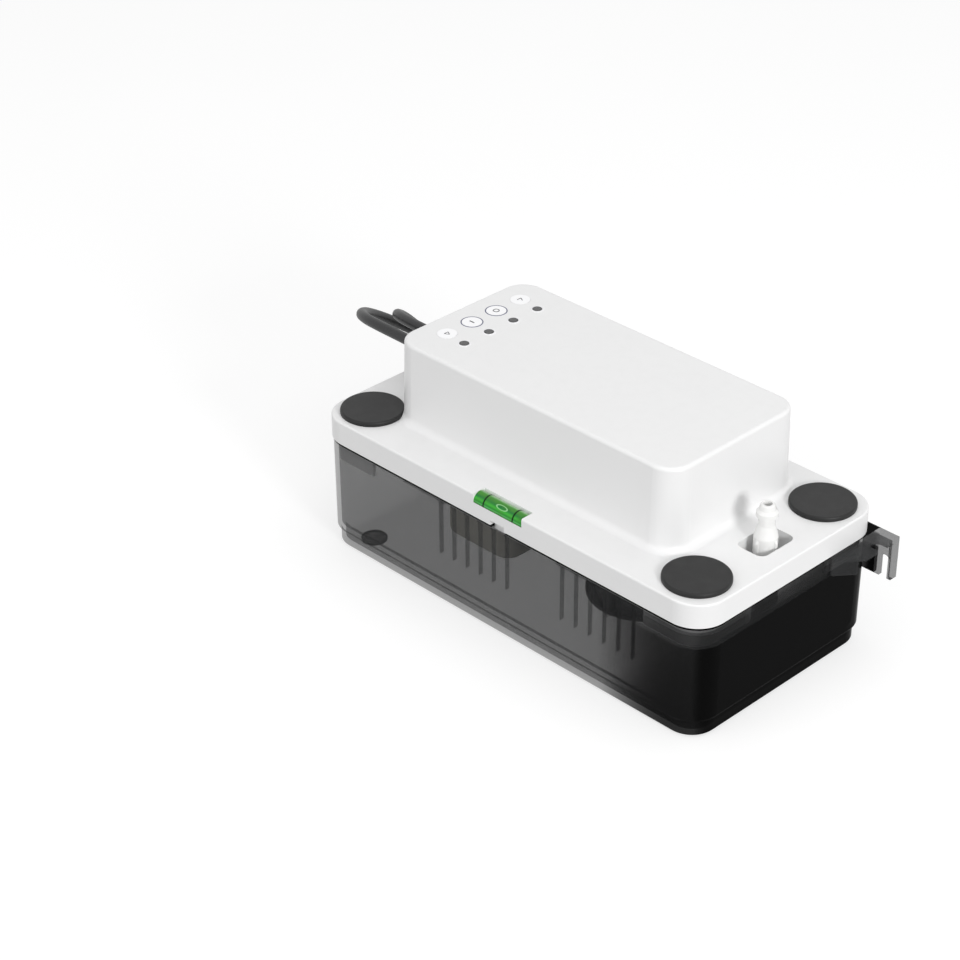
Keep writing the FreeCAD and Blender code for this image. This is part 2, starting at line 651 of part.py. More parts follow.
def make_tank():
    """Smoky tank: a drafted box with a plinth, ribs, snap windows and two wall ears."""
    body = new_body("tank")
    outline = new_sketch(body, level="rim")
    add_rounded(outline, "0", "0", "tank_length", "tank_width", "tank_corner")
    pad(body, outline, "wall_drop", Reversed=True, TaperAngle="-tank_draft")
    plinth = new_sketch(body, level="foot_lift")
    inset = "2 * (wall_lean + plinth_inset)"
    add_rounded(plinth, "0", "0", "tank_length - " + inset, "tank_width - " + inset,
                "tank_corner - wall_lean - plinth_inset")
    pad(body, plinth, "plinth_height")
    step, base = number("foot_lift + plinth_height"), number("foot_lift")
    half = number("tank_length / 2 - wall_lean - plinth_inset")
    half_width = number("tank_width / 2 - wall_lean - plinth_inset")

    def on_step(point):
        return near(point.z, step) and (abs(point.x) > half + 0.1 or abs(point.y) > half_width + 0.1)

    dress(body, "Fillet", "plinth_round", on_step)
    dress(body, "Fillet", "plinth_round", lambda point: near(point.z, base))
    cavity = new_sketch(body, level="rim")
    add_rounded(cavity, "0", "0", "cavity_length", "cavity_width", "cavity_corner")
    pocket(body, cavity, "wall_drop - tank_wall", TaperAngle="-tank_draft")
    sump = new_sketch(body, level="foot_lift + plinth_height + tank_wall")
    inset = "2 * (wall_lean + plinth_inset + tank_wall)"
    add_rounded(sump, "0", "0", "tank_length - " + inset, "tank_width - " + inset,
                "cavity_corner - wall_lean - plinth_inset")
    pocket(body, sump, "plinth_height + tank_wall - tank_floor")
    ring = new_sketch(body, level="rim")
    add_rounded(ring, "0", "0", "tank_length + 2", "tank_width + 2", "tank_corner + 1")
    shrink = " - 2 * rim_groove_width"
    add_rounded(ring, "0", "0", "tank_length" + shrink, "tank_width" + shrink, "tank_corner - rim_groove_width")
    pocket(body, ring, "rim_groove_depth")
    add_tank_ribs(body)
    add_ear(body, 1)
    add_ear(body, -1)
    snaps = new_sketch(body, "XZ_Plane")
    for side in (-1, 1):
        add_rounded(snaps, "%d * snap_x" % side, "rim - snap_drop", "snap_length", "snap_height", "snap_height * 0.49")
    pocket(body, snaps, "lid_width", Midplane=True)
    notch = new_sketch(body, "XZ_Plane", "lid_width / 2")
    add_rectangle(notch, "0", "rim - notch_drop / 2 + 0.5", "notch_width", "notch_drop + 1")
    pocket(body, notch, "tank_inset + tank_wall + 0.6")
    recesses = new_sketch(body, level="foot_lift")
    for x in (-1, 1):
        for y in (-1, 1):
            add_circle(recesses, "%d * foot_x" % x, "%d * foot_y" % y, "foot_radius + fit_gap")
    pocket(body, recesses, "foot_recess", Reversed=True)


def add_tank_ribs(body):
    """Two groups of upright ribs inside the front wall."""
    ribs = new_sketch(body, level="rim - rib_drop")
    for start in ("rib_start_left", "rib_start_right"):
        for index in range(int(number("rib_count"))):
            x = "%s + %d * rib_pitch" % (start, index)
            middle = "rib_depth / 2 - cavity_width / 2 - 0.3"
            add_rectangle(ribs, x, middle, "rib_thickness", "rib_depth + 2.6")
    pad(body, ribs, "rib_length", Reversed=True)


def add_ear(body, side):
    """Wall ear at one end: web with a screwdriver notch, slotted plate and gusset."""
    web = new_sketch(body, level="rim - ear_drop")
    half = "%d * " % side
    inner = half + "(tank_length / 2 - tank_wall / 2)"
    add_outline(web, [(inner, "ear_web_start"),
                      (half + "(lid_length / 2 + 0.5)", "ear_web_start"),
                      (half + "ear_reach", "ear_web_corner"),
                      (half + "ear_reach", "lid_width / 2"),
                      (half + "(lid_length / 2 - lid_corner * 0.5)", "lid_width / 2"),
                      (half + "(lid_length / 2 - lid_corner * 0.5)", "lid_width / 2 - ear_plate * 0.8"),
                      (inner, "lid_width / 2 - lid_corner * 0.75")])
    pad(body, web, "ear_plate", Reversed=True)
    plate = new_sketch(body, "XZ_Plane", "-lid_width / 2")
    foot = "rim - ear_drop - ear_height"
    add_outline(plate, [(half + "(lid_length / 2 - lid_corner * 0.5)", "rim - ear_drop"),
                        (half + "ear_reach", "rim - ear_drop"),
                        (half + "ear_reach", foot + " + 2"),
                        (half + "(ear_reach - 2)", foot),
                        (half + "(lid_length / 2 - lid_corner * 0.5)", foot)])
    pad(body, plate, "ear_plate")
    flange = new_sketch(body, level="rim - ear_drop")
    add_rectangle(flange, half + "(ear_reach - ear_plate / 2)", "(lid_width - ear_flange) / 2", "ear_plate", "ear_flange")
    pad(body, flange, "ear_height - 2", Reversed=True)
    slot = new_sketch(body, "XZ_Plane", "-lid_width / 2")
    add_rounded(slot, half + "ear_slot_x", "rim - ear_slot_top - 15", "ear_slot_width", "30",
                "ear_slot_width * 0.49")
    pocket(body, slot, "2 * ear_plate", Midplane=True)
    access = new_sketch(body, level="rim")
    reach = half + "(ear_access_x + 5)"
    add_rounded(access, reach, "ear_access_y", "10 + 2 * ear_access_radius", "2 * ear_access_radius",
                "ear_access_radius * 0.98")
    pocket(body, access, "2 * ear_plate")
    gusset = new_sketch(body, "YZ_Plane", half + "(tank_length / 2 - 1.2)" if side > 0
                        else half + "(tank_length / 2 - 1.2) - ear_gusset")
    under = "rim - ear_drop - ear_plate / 2"
    add_outline(gusset, [("ear_web_start", under),
                         ("ear_web_start", "rim - ear_drop - 11"),
                         ("lid_width / 2 - lid_corner", "rim - ear_drop - 21"),
                         ("lid_width / 2 - lid_corner", under)])
    pad(body, gusset, "ear_gusset")


def make_tank_feet():
    """Four rubber feet in their recesses under the tank."""
    feet = []
    for x in (-1, 1):
        for y in (-1, 1):
            foot = cylinder("foot", "%d * foot_x" % x, "%d * foot_y" % y, "0", "foot_radius",
                            "foot_lift + foot_recess")
            rounded = document.addObject("Part::Fillet", "foot_rounded")
            rounded.Base = foot
            document.recompute()
            names = edges_where(foot.Shape, lambda point: near(point.z, 0))
            rounded.Edges = [(int(name[4:]), number("foot_lift * 0.5"), number("foot_lift * 0.5")) for name in names]
            feet.append(rounded)
    group("tank_feet", feet)


def make_top_housing():
    """Lid and motor box in one moulding, open below."""
    body = new_body("top_housing")
    lid = new_sketch(body, level="rim")
    add_rounded(lid, "0", "0", "lid_length", "lid_width", "lid_corner")
    pad(body, lid, "lid_height")
    top = number("lid_top")
    dress(body, "Fillet", "lid_round", lambda point: near(point.z, top))
    raised = new_sketch(body, level="box_top")
    add_rounded(raised, "box_x", "box_y", "box_length", "box_width", "box_corner")
    pad(body, raised, "box_rise", Reversed=True, TaperAngle="box_draft")
    roof = number("box_top")
    dress(body, "Fillet", "box_round", lambda point: near(point.z, roof))
    reach_x, reach_y = number("box_base_length / 2 + 1"), number("box_base_width / 2 + 1")
    middle_x, middle_y = number("box_x"), number("box_y")

    def at_foot(point):
        inside = abs(point.x - middle_x) < reach_x and abs(point.y - middle_y) < reach_y
        return near(point.z, top) and inside

    dress(body, "Fillet", "box_foot_round", at_foot)
    hollow = new_sketch(body, level="rim")
    add_rounded(hollow, "0", "0", "lid_length - 2 * lid_wall", "lid_width - 2 * lid_wall", "lid_corner - lid_wall")
    pocket(body, hollow, "lid_height - lid_wall", Reversed=True)
    room = new_sketch(body, level="box_roof")
    add_rounded(room, "box_x", "box_y", "box_length - 2 * lid_wall", "box_width - 2 * lid_wall",
                "box_corner - lid_wall")
    pocket(body, room, "box_roof - rim", TaperAngle="box_draft")
    add_lip(body)
    add_inlets(body)
    add_valve_well(body)
    add_vial_cradle(body)
    add_display(body)
    add_box_bosses(body)
    notch = new_sketch(body, "XZ_Plane", "lid_width / 2")
    add_rectangle(notch, "0", "rim + notch_rise / 2 - 0.5", "notch_width", "notch_rise + 1")
    pocket(body, notch, "lid_wall")
    exits = new_sketch(body, "YZ_Plane", "box_end - 1")
    for y in ("power_y", "alarm_y"):
        add_circle(exits, y, "cord_height", "relief_neck + fit_gap")
    pocket(body, exits, "lid_wall + 3", Reversed=True)
    vents = new_sketch(body, "XZ_Plane", "-box_y - box_base_width / 2 - 1")
    for index in range(int(number("vent_count"))):
        x = "vent_x + vent_pitch * %d" % (index - int(number("vent_count")) // 2)
        add_rounded(vents, x, "vent_base + vent_height / 2", "vent_width", "vent_height", "vent_width * 0.49")
    pocket(body, vents, "lid_wall + 3", Reversed=True)


def add_lip(body):
    """Lip that enters the tank, deeper at the corners, with a ledge that joins it to the skirt."""
    length, width = "cavity_length - 2 * lip_gap", "cavity_width - 2 * lip_gap"
    ring = new_sketch(body, level="lid_under + 0.5")
    add_rounded(ring, "0", "0", length, width, "cavity_corner - lip_gap")
    inner = " - 2 * lip_gap - 2 * lip_wall"
    add_rounded(ring, "0", "0", "cavity_length" + inner, "cavity_width" + inner,
                "cavity_corner - lip_gap - lip_wall")
    pad(body, ring, "lid_under + 0.5 - rim + lip_corner_depth", Reversed=True)
    ledge = new_sketch(body, level="rim + lip_gap")
    add_rounded(ledge, "0", "0", "lid_length - 2", "lid_width - 2", "lid_corner - 1")
    inner = " - 2 * lip_gap - lip_wall"
    add_rounded(ledge, "0", "0", "cavity_length" + inner, "cavity_width" + inner,
                "cavity_corner - lip_gap - lip_wall / 2")
    pad(body, ledge, "1.5")
    relief = new_sketch(body, level="rim - lip_depth")
    add_rectangle(relief, "0", "0", "lid_length - 2 * lip_corner_reach", "lid_width")
    pocket(body, relief, "lip_corner_depth")
    relief = new_sketch(body, level="rim - lip_depth")
    add_rectangle(relief, "0", "0", "lid_length", "lid_width - 2 * lip_corner_reach")
    pocket(body, relief, "lip_corner_depth")


def inlet_places():
    """Places of the three condensate inlets."""
    return [("-left_inlet_x", "-left_inlet_y"), ("inlet_x", "-inlet_y"), ("inlet_x", "inlet_y")]


def add_inlets(body):
    """Condensate inlets with a collar under the lid and room beside the motor box."""
    places = inlet_places()
    seat = new_sketch(body, level="lid_top + plug_travel")
    add_circle(seat, places[0][0], places[0][1], "plug_cap_radius + plug_clearance")
    pocket(body, seat, "plug_travel")
    collars = new_sketch(body, level="lid_under + 0.5")
    for x, y in places:
        add_circle(collars, x, y, "inlet_radius + inlet_collar_wall")
    pad(body, collars, "inlet_collar_depth + 0.5", Reversed=True)
    bores = new_sketch(body, level="lid_top")
    for x, y in places:
        add_circle(bores, x, y, "inlet_radius")
    pocket(body, bores, "lid_height")


def add_valve_well(body):
    """Well in the lid that holds the check valve."""
    outer = new_sketch(body, level="lid_under + 0.5")
    grow = " + 2 * well_wall"
    add_rounded(outer, "valve_x", "valve_y", "well_length" + grow, "well_width" + grow, "well_corner + well_wall")
    pad(body, outer, "lid_under + 0.5 - well_floor + well_wall", Reversed=True)
    inner = new_sketch(body, level="lid_top")
    add_rounded(inner, "valve_x", "valve_y", "well_length", "well_width", "well_corner")
    pocket(body, inner, "lid_top - well_floor")
    bore = new_sketch(body, level="well_floor")
    add_circle(bore, "valve_x", "valve_y", "valve_spigot + valve_spigot_gap")
    pocket(body, bore, "2 * well_wall")


def add_vial_cradle(body):
    """Cradle and window for the level vial in the front edge of the lid."""
    block = new_sketch(body, level="lid_top - lid_round")
    reach = "2 * (vial_length / 2 + vial_end_gap + cradle_wall)"
    depth = "vial_inset + vial_radius + cradle_wall"
    add_rectangle(block, "0", "(%s) / 2 + 1 - lid_width / 2" % depth, reach, depth + " - 1.5")
    pad(body, block, "lid_height - lid_round - 0.6", Reversed=True)
    seat = new_sketch(body, "YZ_Plane", "-vial_length / 2 - vial_end_gap")
    add_circle(seat, "vial_y", "vial_z", "vial_radius + fit_gap")
    pocket(body, seat, "vial_length + 2 * vial_end_gap", Reversed=True)
    window = new_sketch(body, level="lid_top")
    add_rectangle(window, "0", "vial_window / 2 - lid_width / 2 - 0.5", "vial_length - 1.6", "vial_window + 1")
    pocket(body, window, "vial_window_drop")


def add_display(body):
    """Holes for the indicator lights and shallow recesses for the icon discs."""
    holes = new_sketch(body, level="box_top")
    recesses = new_sketch(body, level="box_top")
    for index in range(int(number("light_count"))):
        add_circle(holes, "light_x", "light_y + %d * light_pitch" % index, "light_radius + fit_gap")
        add_circle(recesses, "icon_x", "icon_y + %d * light_pitch" % index, "icon_radius + fit_gap")
    pocket(body, holes, "2 * lid_wall")
    pocket(body, recesses, "icon_recess")
    posts = new_sketch(body, level="box_roof + 0.5")
    for x, y in board_posts():
        add_circle(posts, x, y, "board_post")
    pad(body, posts, "board_drop + 0.5", Reversed=True)
    drilled = new_sketch(body, level="box_roof - board_drop")
    for x, y in board_posts():
        add_circle(drilled, x, y, "small_screw_radius + 0.02")
    pocket(body, drilled, "board_drop", Reversed=True)


def board_posts():
    """Places of the four posts that carry the circuit board."""
    reach_x, reach_y = "(board_length / 2 - board_post)", "(board_width / 2 - board_post)"
    return [("board_x + %d * %s" % (x, reach_x), "board_y + %d * %s" % (y, reach_y))
            for x in (-1, 1) for y in (-1, 1)]


def deck_screw_places():
    """Places of the six screws that hold the motor deck."""
    reach_x = "(box_length / 2 - lid_wall - boss_inset)"
    reach_y = "(box_base_width / 2 - lid_wall - boss_radius + 0.8)"
    return [("box_x + %d * %s" % (x, reach_x), "box_y + %d * %s" % (y, reach_y))
            for x in (-1, 0, 1) for y in (-1, 1)]


def add_box_bosses(body):
    """Screw bosses along the long walls of the motor box."""
    bosses = new_sketch(body, level="lid_under")
    for x, y in deck_screw_places():
        add_circle(bosses, x, y, "boss_radius")
    pad(body, bosses, "boss_height")
    drilled = new_sketch(body, level="lid_under")
    for x, y in deck_screw_places():
        add_circle(drilled, x, y, "deck_screw_radius + 0.02")
    pocket(body, drilled, "deck_screw_length - deck_thickness + 1", Reversed=True)


def add_axis(sketch, x):
    """Draw an upright construction line to revolve a profile about."""
    foot = Vector(number(x), 0, 0)
    axis = sketch.addGeometry(Part.LineSegment(foot, foot + Vector(0, 1, 0)), True)
    sketch.addConstraint(Sketcher.Constraint("Vertical", axis))
    fix(sketch, "DistanceX", (-1, 1), (axis, 1), x)


def make_inlet_plugs():
    """Removable rubber plugs in the condensate inlets."""
    top = number("lid_top + plug_cap_height")
    for index, (middle, y) in enumerate(inlet_places()):
        body = new_body("inlet_plug_%d" % (index + 1))
        profile = new_sketch(body, "XZ_Plane", "-(%s)" % y)
        spigot = middle + " + inlet_radius - plug_gap"
        add_outline(profile, [(middle, "lid_top + plug_cap_height"),
                              (middle, "lid_top + plug_cap_height - plug_wall"),
                              (spigot + " - plug_wall", "lid_top + plug_cap_height - plug_wall"),
                              (spigot + " - plug_wall", "lid_top - plug_spigot"),
                              (spigot, "lid_top - plug_spigot"),
                              (spigot, "lid_top"),
                              (middle + " + plug_cap_radius", "lid_top"),
                              (middle + " + plug_cap_radius", "lid_top + plug_cap_height")])
        add_axis(profile, middle)
        revolve(body, profile, "Axis0")
        dress(body, "Fillet", "plug_round", lambda point: near(point.z, top))


def make_level_vial():
    """Clear vial with two marks, lying along the front edge of the lid."""
    rod = lying_cylinder("vial_rod", "-vial_length / 2", "vial_y", "vial_z", "vial_radius", "vial_length", "x")
    rings, grooves = [], []
    for side in (-1, 1):
        start = "%d * mark_x - mark_width / 2" % side
        core = "vial_radius - mark_depth"
        outside = lying_cylinder("mark", start, "vial_y", "vial_z", "vial_radius + 0.02", "mark_width", "x")
        inside = lying_cylinder("mark", start, "vial_y", "vial_z", core, "mark_width", "x")
        rings.append(cut("mark_ring", outside, [inside]))
        grooves.append(rings[-1])
    keep(cut("level_vial", rod, grooves), "level_vial")
    group("vial_marks", rings)


def make_display():
    """Indicator lights, icon discs and the circuit board behind them."""
    lights, discs = [], []
    for index in range(int(number("light_count"))):
        y = "light_y + %d * light_pitch" % index
        lens = cylinder("lens", "light_x", y, "box_roof - board_drop", "light_radius", "board_drop + lid_wall + 0.3")
        base = cylinder("lens", "light_x", y, "box_roof - board_drop", "light_radius + 0.7", "board_drop - 0.6")
        lights.append(joined("light", [lens, base]))
        y = "icon_y + %d * light_pitch" % index
        discs.append(cylinder("icon", "icon_x", y, "box_top - icon_recess", "icon_radius", "icon_thickness"))
    group("indicator_lights", lights)
    group("icon_discs", discs)
    blank = box("blank", "board_x", "board_y", "board_under", "board_length", "board_width", "board_thickness")
    drills = [cylinder("drill", x, y, "board_under - 1", "small_screw_radius + 0.05", "board_thickness + 2")
              for x, y in board_posts()]
    board = cut("bare_board", blank, drills)
    chips = [box("chip", "board_x + 3", "board_y - 18", "board_under - 2.2", "9", "7", "2.2"),
             box("chip", "board_x - 5", "board_y + 16", "board_under - 5.0", "8", "12", "5.0"),
             cylinder("chip", "board_x + 4", "board_y + 30", "board_under - 7.0", "3.1", "7.0")]
    keep(joined("circuit_board", [board] + chips), "circuit_board")


def small_screw(x, y, z):
    """A small screw driven upwards from a level."""
    head = cylinder("head", x, y, z + " - small_screw_head_height", "small_screw_head", "small_screw_head_height")
    shank = cylinder("shank", x, y, z, "small_screw_radius", "small_screw_length")
    return joined("small_screw", [head, shank])


def make_small_screws():
    """Screws of the circuit board and, from under the deck, of the switch bracket."""
    screws = [small_screw(x, y, "board_under") for x, y in board_posts()]
    screws += [small_screw(x, y, "deck_under") for x, y in bracket_screw_places()]
    group("small_screws", screws)


def bracket_screw_places():
    """Places of the two screws in the foot of the switch bracket."""
    y = "bracket_y + bracket_foot / 2 + bracket_wall / 2"
    return [("pivot_x + arm_hub - %s" % x, y) for x in ("6", "(bracket_end - 6)")]


def make_motor_deck():
    """Deck under the motor box with standoffs, float guide and the pump column."""
    body = new_body("motor_deck")
    plate = new_sketch(body, level="deck_top")
    add_rounded(plate, "box_x", "box_y", "deck_length", "deck_width", "box_corner")
    pad(body, plate, "deck_thickness", Reversed=True)
    bosses = new_sketch(body, level="deck_top")
    for side in (-1, 1):
        add_circle(bosses, "motor_x", "motor_y + %d * post_y" % side, "standoff_radius")
    pad(body, bosses, "standoff_height")
    guide = new_sketch(body, level="deck_top")
    add_circle(guide, "float_x", "float_y", "guide_radius")
    pad(body, guide, "guide_height")
    column = new_sketch(body, level="deck_under")
    add_circle(column, "motor_x", "motor_y", "column_radius")
    pad(body, column, "deck_under - volute_top", Reversed=True)
    flange = new_sketch(body, level="volute_top")
    add_circle(flange, "motor_x", "motor_y", "column_flange")
    pad(body, flange, "column_flange_height")
    for plane, middle, other in (("XZ_Plane", "motor_x", "-motor_y"), ("YZ_Plane", "motor_y", "motor_x")):
        gusset = new_sketch(body, plane, other)
        add_outline(gusset, [(middle + " - gusset_reach", "deck_under"),
                             (middle + " - column_flange * 0.8", "volute_top + column_flange_height"),
                             (middle + " + column_flange * 0.8", "volute_top + column_flange_height"),
                             (middle + " + gusset_reach", "deck_under")])
        pad(body, gusset, "gusset_thickness", Midplane=True)
    bore = new_sketch(body, level="deck_top")
    add_circle(bore, "motor_x", "motor_y", "column_bore")
    pocket(body, bore, "deck_top - volute_top")
    rod_hole = new_sketch(body, level="deck_top + guide_height")
    add_circle(rod_hole, "float_x", "float_y", "rod_radius + rod_gap")
    pocket(body, rod_hole, "guide_height + deck_thickness")
    drill_deck(body)
    windows = new_sketch(body, "XZ_Plane", "-motor_y")
    add_rounded(windows, "motor_x", "volute_top + column_flange_height + 9", "5", "10", "2.4")
    pocket(body, windows, "2 * column_radius + 2", Midplane=True)


def drill_deck(body):
    """Screw holes of the deck and of the flange under its column."""
    holes = new_sketch(body, level="deck_top")
    for x, y in deck_screw_places():
        add_circle(holes, x, y, "deck_screw_radius + fit_gap")
    for x, y in bracket_screw_places():
        add_circle(holes, x, y, "small_screw_radius + 0.02")
    pocket(body, holes, "deck_thickness")
    holes = new_sketch(body, level="deck_top + standoff_height")
    for side in (-1, 1):
        add_circle(holes, "motor_x", "motor_y + %d * post_y" % side, "motor_screw_radius + 0.02")
    pocket(body, holes, "standoff_height + deck_thickness - 1")
    holes = new_sketch(body, level="volute_top")
    for x, y in volute_screw_places():
        add_circle(holes, x, y, "volute_screw_radius + 0.02")
    pocket(body, holes, "column_flange_height", Reversed=True)


def volute_screw_places():
    """Places of the three screws round the volute, turned with its spout."""
    places = []
    for turn in (20, 140, 260):
        x = "motor_x + volute_screw_circle * cos((heading + %d) * 1deg)" % turn
        y = "motor_y + volute_screw_circle * sin((heading + %d) * 1deg)" % turn
        places.append((x, y))
    return places


def make_deck_screws():
    """Six screws up through the deck into the bosses of the motor box."""
    screws = []
    for x, y in deck_screw_places():
        head = cylinder("head", x, y, "deck_under - deck_screw_head_height", "deck_screw_head",
                        "deck_screw_head_height")
        shank = cylinder("shank", x, y, "deck_under", "deck_screw_radius", "deck_screw_length")
        screws.append(joined("deck_screw", [head, shank]))
    group("deck_screws", screws)


def make_stator_stack():
    """Shaded-pole lamination stack with its rotor bore, coil window and screw holes."""
    body = new_body("stator_stack")
    outline = new_sketch(body, level="stack_base")
    add_rounded(outline, "motor_x + (stack_front - stack_back) / 2", "motor_y", "stack_front + stack_back",
                "stack_width", "3")
    pad(body, outline, "stack_height")
    holes = new_sketch(body, level="stack_top")
    add_circle(holes, "motor_x", "motor_y", "rotor_radius + air_gap")
    for side in (-1, 1):
        add_circle(holes, "motor_x", "motor_y + %d * post_y" % side, "motor_screw_radius + fit_gap")
    pocket(body, holes, "stack_height")
    window = new_sketch(body, level="stack_top")
    add_rectangle(window, "motor_x - stack_back + coil_leg + window_depth / 2", "motor_y", "window_depth",
                  "window_width")
    pocket(body, window, "stack_height")
    slots = new_sketch(body, level="stack_top")
    for side in (-1, 1):
        add_rectangle(slots, "motor_x", "motor_y + %d * (rotor_radius + 1.2)" % side, "2", "2.4")
    pocket(body, slots, "stack_height")


def make_coil():
    """Bobbin round the coil leg of the stack, and its winding."""
    leg_x = "motor_x - stack_back + coil_leg / 2"
    inner_x, inner_z = "coil_leg + 2 * bobbin_gap", "stack_height + 2 * bobbin_gap"
    tube_x, tube_z = inner_x + " + 2 * bobbin_wall", inner_z + " + 2 * bobbin_wall"
    outer_x, outer_z = tube_x + " + 2 * winding_depth", tube_z + " + 2 * winding_depth"
    length = "window_width - 0.6"
    leg = box("leg_space", leg_x, "motor_y", "stack_middle - (%s) / 2" % inner_z, inner_x, "window_width", inner_z)
    tube = box("tube", leg_x, "motor_y", "stack_middle - (%s) / 2" % tube_z, tube_x, length, tube_z)
    flanges = []
    for side in (-1, 1):
        y = "motor_y + %d * (window_width / 2 - 0.3 - bobbin_wall / 2)" % side
        flanges.append(box("flange", leg_x, y, "stack_middle - (%s) / 2" % outer_z, outer_x, "bobbin_wall", outer_z))
    keep(cut("coil_bobbin", joined("bobbin_body", [tube] + flanges), [leg]), "coil_bobbin")
    wound_x, wound_z = outer_x + " - 1.2", outer_z + " - 1.2"
    turns = box("turns", leg_x, "motor_y", "stack_middle - (%s) / 2" % wound_z, wound_x, length + " - 2 * bobbin_wall",
                wound_z)
    hollow = box("hollow", leg_x, "motor_y", "stack_middle - (%s) / 2" % tube_z, tube_x, length, tube_z)
    keep(cut("coil_winding", turns, [hollow]), "coil_winding")


def make_rotor():
    """Squirrel-cage rotor and its shaft, which carries the fan and the impeller."""
    blank = cylinder("blank", "motor_x", "motor_y", "stack_base - 0.5", "rotor_radius", "stack_height + 1")
    bore = cylinder("bore", "motor_x", "motor_y", "stack_base - 1", "shaft_radius", "stack_height + 2")
    keep(cut("rotor", blank, [bore]), "rotor")
    shaft = cylinder("motor_shaft", "motor_x", "motor_y", "impeller_base + 1", "shaft_radius",
                     "fan_base + fan_height - impeller_base - 1.5")
    keep(shaft, "motor_shaft")


def make_brackets():
    """Upper and lower bearing brackets with their sleeve bearings."""
    for label, bar_z, post_z, hub_z, bearing_z in (
            ("lower", "stack_base - post_length - bar_thickness", "stack_base - post_length",
             "stack_base - 1.5 - hub_length", "stack_base - 1.5 - hub_length + 0.5"),
            ("upper", "stack_top + post_length", "stack_top", "stack_top + 1.5", "stack_top + 2")):
        parts = [box("bar", "motor_x", "motor_y", bar_z, "bar_width", "2 * (post_y + post_radius)", "bar_thickness"),
                 cylinder("hub", "motor_x", "motor_y", hub_z, "bearing_radius + hub_wall", "hub_length")]
        drills = [cylinder("drill", "motor_x", "motor_y", hub_z + " - 3", "bearing_radius", "hub_length + 6")]
        for side in (-1, 1):
            y = "motor_y + %d * post_y" % side
            parts.append(cylinder("post", "motor_x", y, post_z, "post_radius", "post_length"))
            drills.append(cylinder("drill", "motor_x", y, "stack_base - post_length - bar_thickness - 2",
                                   "motor_screw_radius + fit_gap", "stack_height + 2 * post_length + 20"))
        keep(cut(label + "_bracket", joined("bracket_body", parts), drills), label + "_bracket")
        sleeve = cylinder("sleeve", "motor_x", "motor_y", bearing_z, "bearing_radius", "bearing_length")
        bore = cylinder("bore", "motor_x", "motor_y", bearing_z + " - 1", "shaft_radius + shaft_gap",
                        "bearing_length + 2")
        keep(cut(label + "_bearing", sleeve, [bore]), label + "_bearing")


def make_motor_screws():
    """Two long screws through brackets and stack into the deck."""
    screws = []
    top = "stack_top + post_length + bar_thickness"
    for side in (-1, 1):
        y = "motor_y + %d * post_y" % side
        head = cylinder("head", "motor_x", y, top, "motor_screw_head", "motor_screw_head_height")
        shank = cylinder("shank", "motor_x", y, "deck_under + 1.5", "motor_screw_radius", top + " - deck_under - 1.5")
        screws.append(joined("motor_screw", [head, shank]))
    group("motor_screws", screws)


def make_cooling_fan():
    """Axial fan on top of the shaft, its blades pitched about their own radii."""
    radius, height, hub = number("fan_radius"), number("fan_height"), number("fan_hub")
    width = height / math.sin(math.radians(number("blade_pitch_angle")))
    swept = Part.makeCylinder(radius, height).cut(Part.makeCylinder(hub - 0.5, height))
    blades = []
    for index in range(int(number("fan_blades"))):
        blade = Part.makeBox(radius + 2, width + 4, number("blade_thickness"))
        blade.translate(Vector(0, -width / 2 - 2, -number("blade_thickness") / 2))
        blade.rotate(Vector(), Vector(1, 0, 0), number("blade_pitch_angle"))
        blade.translate(Vector(0, 0, height / 2))
        blade.rotate(Vector(), UP, 360 * index / number("fan_blades"))
        blades.append(blade.common(swept))
    fan = Part.makeCylinder(hub, height).fuse(blades)
    fan = fan.cut(Part.makeCylinder(number("shaft_radius"), height))
    fan.translate(Vector(number("motor_x"), number("motor_y"), number("fan_base")))
    shaped("cooling_fan", fan)




def to_volute(shape):
    """Turn a shape about the motor axis so that its spout points at the valve."""
    shape.rotate(Vector(), UP, number("heading"))
    shape.translate(Vector(number("motor_x"), number("motor_y"), 0))
    return shape


def spiral_face(offset):
    """Face inside a spiral of four arcs whose centres step round a small square."""
    growth, radius = number("volute_growth"), number("volute_start") + offset
    centre, edges = Vector(), []
    for quarter in range(4):
        start = -math.pi / 2 + quarter * math.pi / 2
        circle = Part.Circle(centre, UP, radius)
        edges.append(Part.ArcOfCircle(circle, start, start + math.pi / 2).toShape())
        ahead = start + math.pi / 2
        centre = centre - Vector(math.cos(ahead), math.sin(ahead), 0) * growth
        radius += growth
    edges.append(Part.makeLine(edges[-1].lastVertex().Point, edges[0].firstVertex().Point))
    return Part.Face(Part.Wire(edges))


